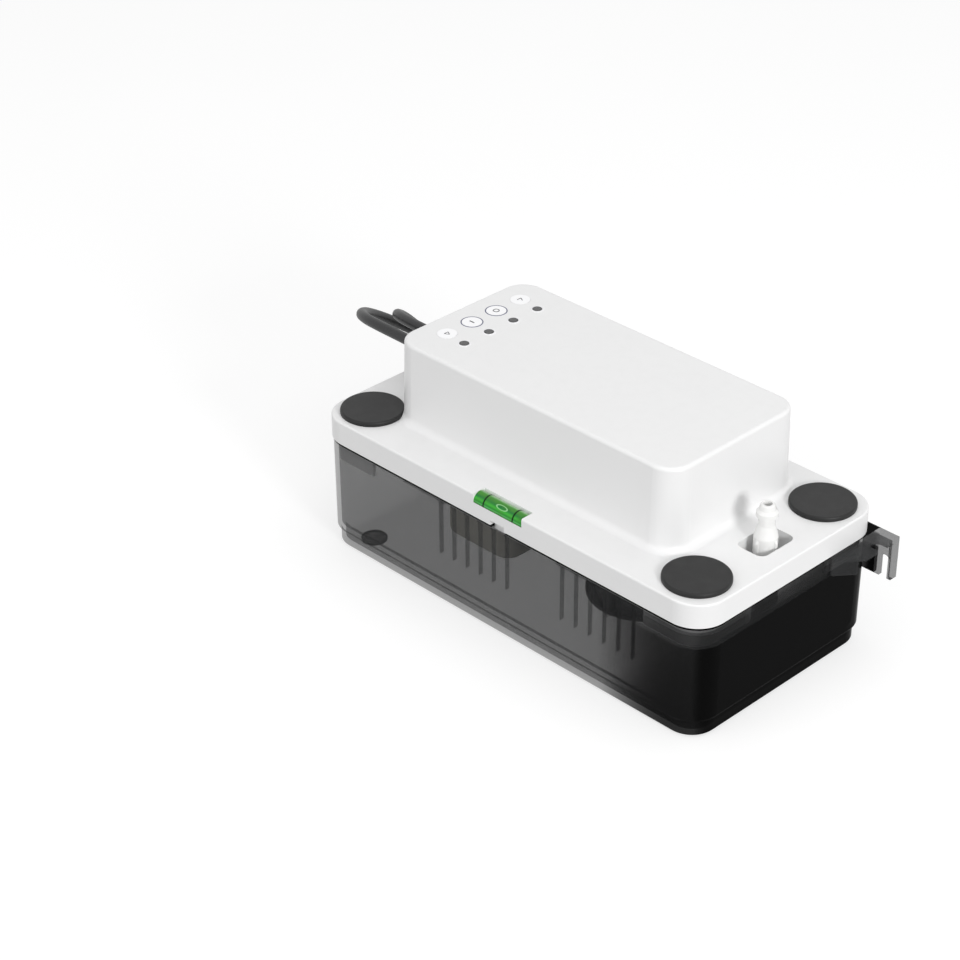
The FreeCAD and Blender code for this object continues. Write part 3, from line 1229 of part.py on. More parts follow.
def make_volute():
    """Spiral volute casing with a spout, a roof and three screw lugs."""
    base, height, wall = number("volute_base"), number("volute_height"), number("volute_wall")
    start, growth, spout = number("volute_start"), number("volute_growth"), number("spout_length")
    offset, level = number("spout_offset"), number("spout_height")
    casing = spiral_face(wall).extrude(UP * height)
    casing.translate(UP * base)
    lugs = []
    for turn in (20, 140, 260):
        place = Vector(number("volute_screw_circle"), 0, base)
        lug = Part.makeCylinder(number("lug_radius"), height, place)
        root = Part.makeBox(place.x - start, 2 * number("lug_radius"), height,
                            Vector(start, -number("lug_radius"), base))
        lug = lug.fuse(root)
        lug.rotate(Vector(), UP, turn)
        lugs.append(lug)
    channel_width = 4 * growth
    shoulder = Part.makeBox(spout * 0.6, channel_width + 2 * wall, height,
                            Vector(0, -start - channel_width - wall, base))
    nozzle = Part.makeCylinder(number("spout_radius"), spout - 4, Vector(4, -offset, level), Vector(1, 0, 0))
    casing = casing.fuse(lugs + [shoulder, nozzle])
    room = spiral_face(0).extrude(UP * (height - number("volute_roof")))
    room.translate(UP * base)
    channel = Part.makeBox(spout * 0.6 - 2, channel_width, height - 2 * number("volute_roof") - 1,
                           Vector(-1, -start - channel_width, base + number("volute_roof")))
    way = Part.makeCylinder(number("pipe_bore"), spout, Vector(0, -offset, level), Vector(1, 0, 0))
    grip = Part.makeCylinder(number("pipe_radius") + number("fit_gap") / 2, spout,
                             Vector(spout - number("spout_grip"), -offset, level), Vector(1, 0, 0))
    hole = Part.makeCylinder(number("impeller_hub") + 0.6, height, Vector(0, 0, base))
    casing = casing.cut([room, channel, way, grip, hole])
    to_volute(casing)
    shaped("volute_casing", casing.cut(volute_drills("fit_gap")).removeSplitter())


def volute_drills(gap):
    """Round bars in the place of the volute screws."""
    radius = number("volute_screw_radius") + number(gap)
    return [Part.makeCylinder(radius, 40, Vector(number(x), number(y), 5)) for x, y in volute_screw_places()]


def make_volute_cover():
    """Cover under the volute with its intake, strainer bars and three short legs."""
    body = new_body("volute_cover")
    disc = new_sketch(body, level="volute_base")
    add_circle(disc, "motor_x", "motor_y", "column_flange")
    pad(body, disc, "cover_thickness", Reversed=True)
    intake = new_sketch(body, level="volute_base")
    add_circle(intake, "motor_x", "motor_y", "intake_radius")
    for x, y in volute_screw_places():
        add_circle(intake, x, y, "volute_screw_radius + fit_gap")
    pocket(body, intake, "cover_thickness")
    legs = new_sketch(body, level="volute_base - cover_thickness")
    for turn in (80, 200, 320):
        x = "motor_x + (column_flange - 1.3 * cover_leg_radius) * cos((heading + %d) * 1deg)" % turn
        y = "motor_y + (column_flange - 1.3 * cover_leg_radius) * sin((heading + %d) * 1deg)" % turn
        add_circle(legs, x, y, "cover_leg_radius")
    pad(body, legs, "cover_leg_height", Reversed=True)
    bars = new_sketch(body, level="volute_base - cover_thickness")
    for step in (-1, 0, 1):
        add_rectangle(bars, "motor_x", "motor_y + %d * intake_radius / 2" % step, "2 * intake_radius + 3", "1")
    pad(body, bars, "1.2", Reversed=True)


def make_volute_screws():
    """Three screws through cover and casing into the flange of the column."""
    screws = []
    under = "volute_base - cover_thickness"
    for x, y in volute_screw_places():
        head = cylinder("head", x, y, under + " - volute_screw_head_height", "volute_screw_head",
                        "volute_screw_head_height")
        shank = cylinder("shank", x, y, under, "volute_screw_radius",
                         "cover_thickness + volute_height + column_flange_height - 0.5")
        screws.append(joined("volute_screw", [head, shank]))
    group("volute_screws", screws)


def make_impeller():
    """Open impeller: a disc with a hub and vanes swept back along arcs."""
    base, radius, hub = number("impeller_base"), number("impeller_radius"), number("impeller_hub")
    height, disc, thickness = number("impeller_height"), number("impeller_disc"), number("vane_thickness")
    sweep = math.radians(number("vane_sweep"))
    vanes = []
    for index in range(int(number("vane_count"))):
        edges = []
        for side in (-0.5, 0.5):
            points = []
            for share in (0, 0.5, 1):
                reach = hub - 0.4 + (radius - hub + 0.4) * share
                angle = sweep * share + side * thickness / reach
                points.append(Vector(reach * math.cos(angle), reach * math.sin(angle), 0))
            edges.append(Part.Arc(*points).toShape())
        ends = [Part.makeLine(edges[0].valueAt(edges[0].LastParameter), edges[1].valueAt(edges[1].LastParameter)),
                Part.makeLine(edges[0].valueAt(edges[0].FirstParameter), edges[1].valueAt(edges[1].FirstParameter))]
        vane = Part.Face(Part.Wire(Part.__sortEdges__(edges + ends))).extrude(UP * (height - disc + 0.2))
        vane.rotate(Vector(), UP, 360 * index / number("vane_count"))
        vanes.append(vane.common(Part.makeCylinder(radius, height)))
    top = Part.makeCylinder(radius, disc, Vector(0, 0, height - disc))
    core = Part.makeCylinder(hub, height + 3)
    impeller = top.fuse(vanes + [core]).cut(Part.makeCylinder(number("shaft_radius"), height + 3, Vector(0, 0, 1)))
    impeller.translate(Vector(number("motor_x"), number("motor_y"), base))
    shaped("impeller", impeller.removeSplitter())


def make_discharge_pipe():
    """Pipe from the spout of the volute to the socket under the valve well."""
    radius, bore, bend = number("pipe_radius"), number("pipe_bore"), number("pipe_bend")
    offset, level, spout = number("spout_offset"), number("spout_height"), number("spout_length")
    reach = math.sqrt(number("valve_distance") ** 2 - offset ** 2)
    top = number("well_floor") - number("well_wall")
    socket_base = top - number("socket_depth")
    start = spout - number("spout_grip") + number("fit_gap")

    def run(size):
        straight = Part.makeCylinder(size, reach - bend - start, Vector(start, -offset, level), Vector(1, 0, 0))
        face = Part.Face(Part.Wire(Part.makeCircle(size, Vector(reach - bend, -offset, level), Vector(1, 0, 0))))
        elbow = face.revolve(Vector(reach - bend, -offset, level + bend), Vector(0, -1, 0), 90)
        riser = Part.makeCylinder(size, socket_base + 1 - level - bend, Vector(reach, -offset, level + bend))
        return straight.fuse([elbow, riser])

    socket = Part.makeCylinder(number("socket_radius"), number("socket_depth"), Vector(reach, -offset, socket_base))
    bell = number("valve_spigot") + number("valve_spigot_gap")
    opening = Part.makeCylinder(bell, number("socket_depth"), Vector(reach, -offset, socket_base + 2))
    pipe = run(radius).fuse(socket).cut([run(bore), opening])
    shaped("discharge_pipe", to_volute(pipe).removeSplitter())


def make_check_valve():
    """Twist-lock check valve with a hose barb, a ball chamber and grip fins."""
    body = new_body("check_valve")
    profile = new_sketch(body, "XZ_Plane", "-valve_y")
    seat_z = "well_floor + 1"
    seal_bed = "valve_spigot + valve_spigot_gap - 2 * seal_radius - 0.07"
    points = [("valve_spigot", "valve_base"),
              ("valve_spigot", "well_floor - seal_drop - seal_radius"),
              (seal_bed, "well_floor - seal_drop - seal_radius"),
              (seal_bed, "well_floor - seal_drop + seal_radius"),
              ("valve_spigot", "well_floor - seal_drop + seal_radius"),
              ("valve_spigot", "well_floor + 0.1"),
              ("valve_flange", "well_floor + 0.1"),
              ("valve_flange", "well_floor + valve_flange_height"),
              ("valve_body", "well_floor + valve_flange_height"),
              ("valve_body", "rim + valve_body_top"),
              ("valve_neck", "rim + valve_neck_start"),
              ("valve_neck", "rim + valve_barb_base"),
              ("valve_barb", "rim + valve_barb_base + 0.8"),
              ("valve_barb", "rim + valve_barb_base + 0.8 + valve_barb_land"),
              ("valve_lip + 0.6", "rim + valve_shoulder"),
              ("valve_lip", "rim + valve_tip - 0.6"),
              ("valve_lip - 0.6", "rim + valve_tip"),
              ("valve_bore", "rim + valve_tip"),
              ("valve_bore", "rim + valve_chamber_top + 2"),
              ("valve_chamber", "rim + valve_chamber_top"),
              ("valve_chamber", seat_z + " + valve_chamber - valve_seat"),
              ("valve_seat", seat_z),
              ("valve_seat", "valve_base")]
    add_outline(profile, [("valve_x + " + x, y) for x, y in points])
    add_axis(profile, "valve_x")
    revolve(body, profile, "Axis0")
    for plane, middle, level in (("XZ_Plane", "valve_x", "-valve_y"), ("YZ_Plane", "valve_y", "valve_x")):
        for side in ("+", "-"):
            fin = new_sketch(body, plane, level)
            inner = "%s %s (valve_body - 0.6)" % (middle, side)
            add_outline(fin, [(inner, "well_floor + 1"),
                              ("%s %s fin_reach" % (middle, side), "well_floor + 1"),
                              ("%s %s fin_reach" % (middle, side), "rim + valve_body_top - 2.5"),
                              (inner, "rim + valve_body_top + 0.5")])
            pad(body, fin, "fin_thickness", Midplane=True)


def make_check_ball():
    """Ball that rests on the seat of the valve, and the seal ring of its spigot."""
    ball = document.addObject("Part::Sphere", "ball")
    bind(ball, Radius="ball_radius")
    seat = number("well_floor + 1")
    height = seat + math.sqrt(number("ball_radius") ** 2 - number("valve_seat") ** 2) + number("ball_gap")
    ball.Placement.Base = Vector(number("valve_x"), number("valve_y"), height)
    keep(ball, "check_ball")
    ring = document.addObject("Part::Torus", "ring")
    bind(ring, Radius1="valve_spigot + valve_spigot_gap - seal_radius - 0.05", Radius2="seal_radius")
    bind_place(ring, "valve_x", "valve_y", "well_floor - seal_drop")
    keep(ring, "valve_seal")


def make_float():
    """Block float with its rod, which hangs by a collar on the deck's guide."""
    body = new_body("float")
    block = new_sketch(body, level="float_base")
    add_rounded(block, "float_x", "float_y", "float_length", "float_width", "float_corner")
    pad(body, block, "float_height")
    levels = (number("float_base"), number("float_base + float_height"))
    dress(body, "Fillet", "float_round", lambda point: near(point.z, levels[0]) or near(point.z, levels[1]))
    bore = new_sketch(body, level="float_base + float_height")
    add_circle(bore, "float_x", "float_y", "rod_radius + 0.03")
    pocket(body, bore, "rod_grip")
    stem = cylinder("stem", "float_x", "float_y", "rod_base", "rod_radius", "rod_tip - rod_radius - rod_base")
    collar = cylinder("collar", "float_x", "float_y", "collar_base", "rod_collar", "rod_collar_height")
    tip = document.addObject("Part::Sphere", "tip")
    bind(tip, Radius="rod_radius")
    bind_place(tip, "float_x", "float_y", "rod_tip - rod_radius")
    keep(joined("float_rod", [stem, collar, tip]), "float_rod")


def make_switch_bracket():
    """Bracket on the deck that carries the arm pin and two micro switches on pegs."""
    body = new_body("switch_bracket")
    plate = new_sketch(body, "XZ_Plane", "-bracket_y")
    left = "pivot_x + arm_hub - bracket_end"
    top = "switch_base + switch_height + 0.5"
    add_outline(plate, [(left, "deck_top"),
                        ("pivot_x + arm_hub", "deck_top"),
                        ("pivot_x + arm_hub", top),
                        (left, top)])
    pad(body, plate, "bracket_wall", Reversed=True)
    foot = new_sketch(body, level="deck_top")
    add_rectangle(foot, "pivot_x + arm_hub - bracket_end / 2", "bracket_y + (bracket_wall + bracket_foot) / 2",
                  "bracket_end", "bracket_foot + bracket_wall")
    pad(body, foot, "bracket_wall")
    holes = new_sketch(body, level="deck_top + bracket_wall")
    for x, y in bracket_screw_places():
        add_circle(holes, x, y, "small_screw_radius + 0.02")
    pocket(body, holes, "bracket_wall")
    pivot = new_sketch(body, "XZ_Plane", "-bracket_y")
    add_circle(pivot, "pivot_x", "pivot_z", "arm_pin_radius")
    pocket(body, pivot, "bracket_wall")
    pegs = new_sketch(body, "XZ_Plane", "-bracket_y - bracket_wall / 2")
    for side in (-1, 1):
        add_circle(pegs, "switch_x + %d * peg_pitch / 2" % side, "switch_base + switch_height - 3", "peg_radius")
    pad(body, pegs, "2 * switch_width + bracket_wall / 2 + 0.6")


def make_micro_switch(label, place):
    """One micro switch on the pegs, with its plunger towards the arm."""
    y = "bracket_y - 0.2 - (%s + 0.5) * (switch_width + 0.1)" % place
    case = box("case", "switch_x", y, "switch_base", "switch_length", "switch_width", "switch_height")
    plunger = cylinder("plunger", "switch_x - 5", y, "switch_base - 0.8", "1.1", "2")
    tags = [box("tag", "switch_x + %s" % x, y, "switch_base + switch_height", "1.0", "3.0", "2.6")
            for x in ("(-7)", "0", "7")]
    pegs = []
    for side in (-1, 1):
        x = "switch_x + %d * peg_pitch / 2" % side
        peg = lying_cylinder("peg", x, "%s - switch_width" % y, "switch_base + switch_height - 3",
                             "peg_radius + fit_gap", "2 * switch_width", "y")
        pegs.append(peg)
    keep(cut(label, joined("switch_body", [case, plunger] + tags), pegs), label)


def make_switch_arm():
    """Arm that the float rod lifts, on its pin in the bracket."""
    hub = lying_cylinder("hub", "0", "-arm_width / 2", "0", "arm_hub", "arm_width", "y")
    bar = box("bar", "-(arm_reach + 4) / 2", "0", "-arm_thickness / 2", "arm_reach + 4", "arm_width", "arm_thickness")
    bore = lying_cylinder("bore", "0", "-arm_width", "0", "arm_pin_radius + arm_pin_gap", "2 * arm_width", "y")
    arm = cut("switch_arm", joined("arm_body", [hub, bar]), [bore])
    turn = FreeCAD.Rotation(Vector(0, 1, 0), -number("arm_swing") / 2)
    arm.Placement = FreeCAD.Placement(Vector(), turn)
    bind_place(arm, "pivot_x", "float_y", "pivot_z")
    keep(arm, "switch_arm")
    pin = lying_cylinder("pin", "pivot_x", "float_y - arm_width / 2 - 0.6", "pivot_z", "arm_pin_radius",
                         "arm_width + 0.6 + bracket_gap + bracket_wall", "y")
    keep(pin, "arm_pin")


def make_strain_reliefs():
    """Tapered strain reliefs of both cords in the end wall of the motor box."""
    for label, y in (("power_strain_relief", "power_y"), ("alarm_strain_relief", "alarm_y")):
        sleeve = cone("sleeve", "wall_face", y, "cord_height", "relief_root", "relief_tip", "relief_length")
        sleeve.Placement = FreeCAD.Placement(Vector(), FreeCAD.Rotation(Vector(0, 1, 0), -90))
        bind_place(sleeve, "wall_face", y, "cord_height")
        neck = lying_cylinder("neck", "wall_face - 1", y, "cord_height", "relief_neck", "lid_wall + 2", "x")
        flange = lying_cylinder("flange", "wall_face + lid_wall + 0.45", y, "cord_height", "relief_root",
                                "relief_flange", "x")
        keep(joined(label, [sleeve, neck, flange]), label)


def cord_tube(label, route):
    """Tube of a free cord: straight runs joined by the largest arcs that they allow."""
    points = [Vector(*point) for point in route]
    runs = [points[index + 1] - points[index] for index in range(len(points) - 1)]
    edges, last, radii = [], points[0], []
    for index in range(1, len(points) - 1):
        before, after = runs[index - 1], runs[index]
        turn = before.getAngle(after)
        shorter = min(before.Length, after.Length)
        back = 0.45 * shorter
        radii.append(back / math.tan(turn / 2))
        start = points[index] - before.normalize() * back
        end = points[index] + Vector(after).normalize() * back
        bisector = (start + end) * 0.5 - points[index]
        centre = points[index] + Vector(bisector).normalize() * (radii[-1] / math.cos(turn / 2))
        middle = centre + (points[index] - centre).normalize() * radii[-1]
        edges += [Part.LineSegment(last, start).toShape(), Part.Arc(start, middle, end).toShape()]
        last = end
        runs[index] = points[index + 1] - points[index]
    edges.append(Part.LineSegment(last, points[-1]).toShape())
    path = Part.Wire(edges)
    radius = number("cord_radius")
    ring = Part.Wire(Part.makeCircle(radius, points[0], points[1] - points[0]))
    tube = path.makePipeShell([ring], True, False)
    share = tube.Volume / (math.pi * radius ** 2 * path.Length)
    print("%s: length %.0f, radii %s, volume share %.4f" % (
        label, path.Length, " ".join("%.0f" % value for value in radii), share))
    shaped(label, tube)


def make_power_cord():
    """Power cord down to the floor behind the tank, its coil and its mains plug."""
    start = (number("relief_end"), number("power_y"), number("cord_height"))
    cord_tube("power_cord", [start, (-163, 16, 98), (-184, 27.5, 91), (-193, 46, 77), (-190, 66, 54),
                             (-180, 84, 31), (-168, 97, 12), (-161, 112, 3.2)])
    coil("power_cord_coil", "0", "power_coil_height")
    cord_tube("power_cord_tail", [(-77, 145, 9.6), (-61, 129, 10), (-41, 112.5, 11.5), (-17, 110, 12)])
    make_mains_plug()


def coil(label, level, height):
    """Outer shape of a cord wound into a round coil."""
    outer = cylinder("outer", "coil_x", "coil_y", level, "coil_outer", height)
    inner = cylinder("inner", "coil_x", "coil_y", level, "coil_inner", height)
    keep(cut(label, outer, [inner]), label)


def make_mains_plug():
    """Moulded two-blade plug with an earth pin, lying on the floor."""
    length, width, height = "mains_body_length", "mains_body_width", "mains_body_height"
    handle = box("handle", "mains_x", "mains_y", "0", length, width, height)
    rounded = document.addObject("Part::Fillet", "handle_rounded")
    rounded.Base = handle
    document.recompute()
    rounded.Edges = [(index + 1, 4.0, 4.0) for index in range(len(handle.Shape.Edges))]
    left = "mains_x - mains_body_length / 2"
    tail = cone("tail", "0", "0", "0", "mains_body_height * 0.36", "relief_tip", "mains_tail")
    tail.Placement = FreeCAD.Placement(Vector(), FreeCAD.Rotation(Vector(0, 1, 0), -90))
    bind_place(tail, left + " + 1", "mains_y", "mains_body_height / 2")
    right = "mains_x + mains_body_length / 2 - 1"
    blades = []
    for side in (-1, 1):
        y = "mains_y + %d * blade_offset" % side
        blades.append(box("blade", right + " + blade_length / 2", y, "(mains_body_height - blade_width) / 2 + 2",
                          "blade_length + 1", "blade_gauge", "blade_width"))
    blades.append(lying_cylinder("earth", right, "mains_y", "mains_body_height / 2 - earth_drop", "earth_radius",
                                 "blade_length + 2", "x"))
    keep(joined("mains_plug", [rounded, tail]), "mains_plug")
    group("plug_blades", blades)


def make_alarm_cord():
    """Alarm cord, its coil on top of the other one, and its bare cores."""
    start = (number("relief_end"), number("alarm_y"), number("cord_height"))
    cord_tube("alarm_cord", [start, (-164, 0.8, 98), (-190, 6, 94.5), (-207, 23, 85), (-213, 46, 70),
                             (-207, 69, 53), (-192, 87, 37), (-174, 99, 24), (-161, 112, 16)])
    coil("alarm_cord_coil", "power_coil_height", "alarm_coil_height")
    middle = (number("coil_outer") + number("coil_inner")) / 2
    top = number("power_coil_height + alarm_coil_height")
    centre = Vector(number("coil_x"), number("coil_y"), 0)
    radius, core = number("cord_radius"), number("core_radius")
    start_turn, turn, core_turn = number("tail_angle"), number("tail_turn"), number("core_turn")
    shaped("alarm_cord_tail", arc_tube(centre, middle, top + radius, radius, start_turn, turn))
    cores = []
    for side in (-1, 1):
        reach = middle + side * (core + 0.15)
        cores.append(arc_tube(centre, reach, top + core + 0.05, core, start_turn - core_turn, core_turn))
    shaped("alarm_cord_cores", Part.Compound(cores))


def arc_tube(centre, reach, level, radius, start, turn):
    """Tube bent along a level arc about a centre, angles in degrees."""
    face = Part.Face(Part.Wire(Part.makeCircle(radius, centre + Vector(reach, 0, level), Vector(0, 1, 0))))
    face.rotate(centre, UP, start)
    return face.revolve(centre, UP, turn)


make_tank()
make_tank_feet()
make_top_housing()
make_inlet_plugs()
make_level_vial()
make_display()
make_small_screws()
make_motor_deck()
make_deck_screws()
make_stator_stack()
make_coil()
make_rotor()
make_brackets()
make_motor_screws()
make_cooling_fan()
make_volute()
make_volute_cover()
make_volute_screws()
make_impeller()
make_discharge_pipe()
make_check_valve()
make_check_ball()
make_float()
make_switch_bracket()
make_micro_switch("alarm_switch", "0")
make_micro_switch("run_switch", "1")
make_switch_arm()
make_strain_reliefs()
make_power_cord()
make_alarm_cord()


def write_parts():
    """Check every object, then write each piece to its own file."""
    document.recompute()
    for thing in document.Objects:
        if "Invalid" in thing.State or "Error" in thing.State:
            raise ValueError("failed: " + thing.Label)
    os.makedirs("parts", exist_ok=True)
    for body in bodies:
        if body.Shape.isNull() or not body.Shape.isValid():
            raise ValueError("bad shape: " + body.Label)
        body.Shape.exportStep("parts/%s.step" % body.Label)
        bounds = body.Shape.BoundBox
        print("%-20s %2d solids %9.0f mm3  z %6.1f %6.1f" % (
            body.Label, len(body.Shape.Solids), body.Shape.Volume, bounds.ZMin, bounds.ZMax))


write_parts()
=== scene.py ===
"""Looks of a small condensate pump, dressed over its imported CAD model.

The script loads the model, gives every node a finish, adds the cords and the small trim, and sets up the
camera, the lamps and the floor. All lengths are in metres in the model's own frame: X runs along the pump
towards the discharge barb, Y towards the wall, Z up.
"""

import logging
import math
from dataclasses import dataclass
from enum import Enum
from typing import Sequence

import bmesh
import bpy
from mathutils import Matrix, Vector


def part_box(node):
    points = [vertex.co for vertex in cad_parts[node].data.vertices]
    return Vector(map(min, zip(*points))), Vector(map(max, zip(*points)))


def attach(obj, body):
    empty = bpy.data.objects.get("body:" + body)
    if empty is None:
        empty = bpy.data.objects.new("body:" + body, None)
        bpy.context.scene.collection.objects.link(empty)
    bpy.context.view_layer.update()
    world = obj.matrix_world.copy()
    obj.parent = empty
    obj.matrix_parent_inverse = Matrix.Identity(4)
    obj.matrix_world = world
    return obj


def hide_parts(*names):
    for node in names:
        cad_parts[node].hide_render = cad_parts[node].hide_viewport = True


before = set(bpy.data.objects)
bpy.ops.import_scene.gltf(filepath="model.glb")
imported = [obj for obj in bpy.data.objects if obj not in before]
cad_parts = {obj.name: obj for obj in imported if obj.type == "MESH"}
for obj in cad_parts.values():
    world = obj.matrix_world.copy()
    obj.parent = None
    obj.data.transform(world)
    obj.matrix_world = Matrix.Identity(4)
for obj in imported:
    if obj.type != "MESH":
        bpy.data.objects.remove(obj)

LOG = logging.getLogger("condensate_pump")
Point = tuple[float, float, float]
Colour = tuple[float, float, float]
Link = bpy.types.NodeSocket

# Layout of a node tree, and the sockets of a colour mix
NODE_COLUMN, NODE_ROW, NODE_ROWS = 190, 150, 5
MIX_FIRST, MIX_SECOND, MIX_COLOUR = 6, 7, 2

# Shared patterns: scales in cycles per metre, and the ranges that are stretched to run from 0 to 1
DRIFT_SCALE, DRIFT_EDGES = 38.0, (0.35, 0.7)
SPECK_SCALE, SPECK_EDGES, SPECK_SHARE = 420.0, (0.05, 0.16), 0.5
DUST_SCALE, DUST_EDGES, FACING_UP = 160.0, (0.45, 0.75), (0.6, 1.0)
SCRATCHES = (60.0, 2200.0, 2200.0)

# Meshes: welding distance in metres, largest angles in degrees that are shaded smooth, steps of a full turn
WELD = 1e-7
SMOOTH_ANGLE, RELIEF_ANGLE = 35.0, 50.0
FULL_TURN = 2.0 * math.pi
TURN_STEPS = 40


class Axis(Enum):
    """Direction of a banded pattern."""

    X = "X"
    Y = "Y"
    Z = "Z"


class Mark(Enum):
    """Plain sign on an icon disc: sides of a polygon, how many of them are drawn, and their width."""

    TRIANGLE = (3, 3, 0.00035)
    STROKE = (2, 1, 0.00080)
    DIAL = (8, 8, 0.00050)
    CHEVRON = (3, 2, 0.00045)


# Node trees


class Tree:
    """Adds and links nodes in one node tree."""

    def __init__(self, tree: bpy.types.NodeTree) -> None:
        """Take over an empty tree.

        Args:
            tree: The node tree of a material, group or world.
        """
        self.tree = tree
        self.column = 0

    def add(self, kind: str, inputs: dict[str, object] | None = None, **settings: object) -> bpy.types.Node:
        """Add a node.

        Args:
            kind: Node type name, without its ShaderNode prefix where it has one.
            inputs: Socket names with a value or with an output to link.
            settings: Properties of the node.

        Returns:
            The new node.
        """
        name = kind if kind.startswith("Node") else "ShaderNode" + kind
        node = self.tree.nodes.new(name)
        self.column += 1
        node.location = (self.column * NODE_COLUMN, -(self.column % NODE_ROWS) * NODE_ROW)
        for key, value in settings.items():
            setattr(node, key, value)
        for key, value in (inputs or {}).items():
            self.set(node, key, value)
        return node

    def set(self, node: bpy.types.Node, socket: str | int, value: object) -> None:
        """Set or link one input of a node.

        Args:
            node: The node.
            socket: Name or number of its input.
            value: A plain value, or another node's output.
        """
        target = node.inputs[socket]
        if isinstance(value, bpy.types.NodeSocket):
            self.tree.links.new(value, target)
        else:
            target.default_value = paint(value) if target.type == "RGBA" else value

    def place(self, scale: Sequence[float] = (1.0, 1.0, 1.0)) -> Link:
        """Object coordinates, stretched.

        Args:
            scale: Factor along each axis.

        Returns:
            The vector output.
        """
        where = self.add("TexCoord").outputs["Object"]
        if tuple(scale) == (1.0, 1.0, 1.0):
            return where
        return self.add("Mapping", {"Vector": where, "Scale": scale}).outputs["Vector"]

    def math(self, operation: str, *values: object) -> Link:
        """Add a math node.

        Args:
            operation: Name of the operation.
            values: Its operands, plain or linked.

        Returns:
            The value output.
        """
        node = self.add("Math", operation=operation)
        for index, value in enumerate(values):
            self.set(node, index, value)
        return node.outputs[0]

    def mix(self, amount: object, first: object, second: object) -> Link:
        """Mix two colours.

        Args:
            amount: Share of the second colour.
            first: The first colour.
            second: The second colour.

        Returns:
            The colour output.
        """
        node = self.add("Mix", data_type="RGBA")
        self.set(node, 0, amount)
        self.set(node, MIX_FIRST, first)
        self.set(node, MIX_SECOND, second)
        return node.outputs[MIX_COLOUR]

    def fit(self, value: Link, source: Sequence[float] = (0.0, 1.0), target: Sequence[float] = (0.0, 1.0),
            soft: bool = False) -> Link:
        """Map one range onto another, clamped.

        Args:
            value: The value to map.
            source: Its range.
            target: The range to map it onto.
            soft: Whether both ends are eased.

        Returns:
            The value output.
        """
        node = self.add("MapRange", {"Value": value, "From Min": source[0], "From Max": source[1],
                                     "To Min": target[0], "To Max": target[1]},
                        interpolation_type="SMOOTHSTEP" if soft else "LINEAR")
        return node.outputs["Result"]

    def ramp(self, value: Link, stops: Sequence[tuple[float, Sequence[float]]]) -> Link:
        """Colour that runs through stops.

        Args:
            value: Value output from 0 to 1.
            stops: Places from 0 to 1 with their colours.

        Returns:
            The colour output.
        """
        node = self.add("ValToRGB", {"Fac": value})
        band = node.color_ramp.elements
        while len(band) < len(stops):
            band.new(1.0)
        for element, (place, colour) in zip(band, stops):
            element.position = place
            element.color = paint(colour)
        return node.outputs["Color"]


def paint(colour: Sequence[float]) -> tuple[float, float, float, float]:
    """Give a colour its alpha."""
    return (colour[0], colour[1], colour[2], 1.0)


def grey(level: float, blue: float = 0.0) -> Colour:
    """Grey of one level, with a little more blue where that is given."""
    return (level, level, level + blue)


def open_tree(owner: bpy.types.Material | bpy.types.World) -> Tree:
    """Turn on the nodes of a material or world and empty its tree."""
    owner.use_nodes = True
    owner.node_tree.nodes.clear()
    return Tree(owner.node_tree)


def open_group(name: str, inputs: dict[str, object], outputs: dict[str, str]) -> Tree:
    """Start a shader node group.

    Args:
        name: Name of the group.
        inputs: Names of its inputs with their first values, each a number or a colour.
        outputs: Names and kinds of its outputs.

    Returns:
        The tree of the group.
    """
    group = bpy.data.node_groups.new(name, "ShaderNodeTree")
    for title, value in inputs.items():
        kind, start = ("Float", value) if isinstance(value, float) else ("Color", paint(value))
        made = group.interface.new_socket(title, in_out="INPUT", socket_type="NodeSocket" + kind)
        made.default_value = start
    for title, kind in outputs.items():
        group.interface.new_socket(title, in_out="OUTPUT", socket_type="NodeSocket" + kind)
    return Tree(group)


def build_grain_group() -> bpy.types.NodeTree:
    """Fine moulded grain: a height and a roughness that drifts over the surface.

    Returns:
        The node group.
    """
    tree = open_group("moulded_grain", {"Grain Scale": 2600.0, "Roughness": 0.4, "Spread": 0.06},
                      {"Height": "Float", "Roughness": "Float"})
    ends = tree.add("NodeGroupInput")
    where = tree.place()
    grain = tree.add("TexNoise", {"Vector": where, "Scale": ends.outputs["Grain Scale"], "Detail": 3.0})
    drift = tree.add("TexNoise", {"Vector": where, "Scale": DRIFT_SCALE, "Detail": 4.0, "Roughness": 0.6})
    centred = tree.math("SUBTRACT", drift.outputs["Fac"], 0.5)
    spread = tree.math("MULTIPLY", centred, ends.outputs["Spread"])
    rough = tree.math("ADD", tree.math("MULTIPLY", spread, 2.0), ends.outputs["Roughness"])
    out = tree.add("NodeGroupOutput")
    tree.set(out, "Height", grain.outputs["Fac"])
    tree.set(out, "Roughness", rough)
    return tree.tree


def build_drift_group() -> bpy.types.NodeTree:
    """Two colours that drift into each other, with specks of the second.

    Returns:
        The node group.
    """
    tree = open_group("tone_drift", {"Colour": grey(0.8), "Shade": grey(0.7), "Scale": 22.0, "Amount": 0.5},
                      {"Colour": "Color"})
    ends = tree.add("NodeGroupInput")
    where = tree.place()
    broad = tree.add("TexNoise", {"Vector": where, "Scale": ends.outputs["Scale"], "Detail": 5.0})
    specks = tree.add("TexVoronoi", {"Vector": where, "Scale": SPECK_SCALE})
    near = tree.fit(specks.outputs["Distance"], SPECK_EDGES, (SPECK_SHARE, 0.0))
    both = tree.math("MAXIMUM", tree.fit(broad.outputs["Fac"], DRIFT_EDGES), near)
    share = tree.math("MULTIPLY", both, ends.outputs["Amount"])
    out = tree.add("NodeGroupOutput")
    tree.set(out, "Colour", tree.mix(share, ends.outputs["Colour"], ends.outputs["Shade"]))
    return tree.tree


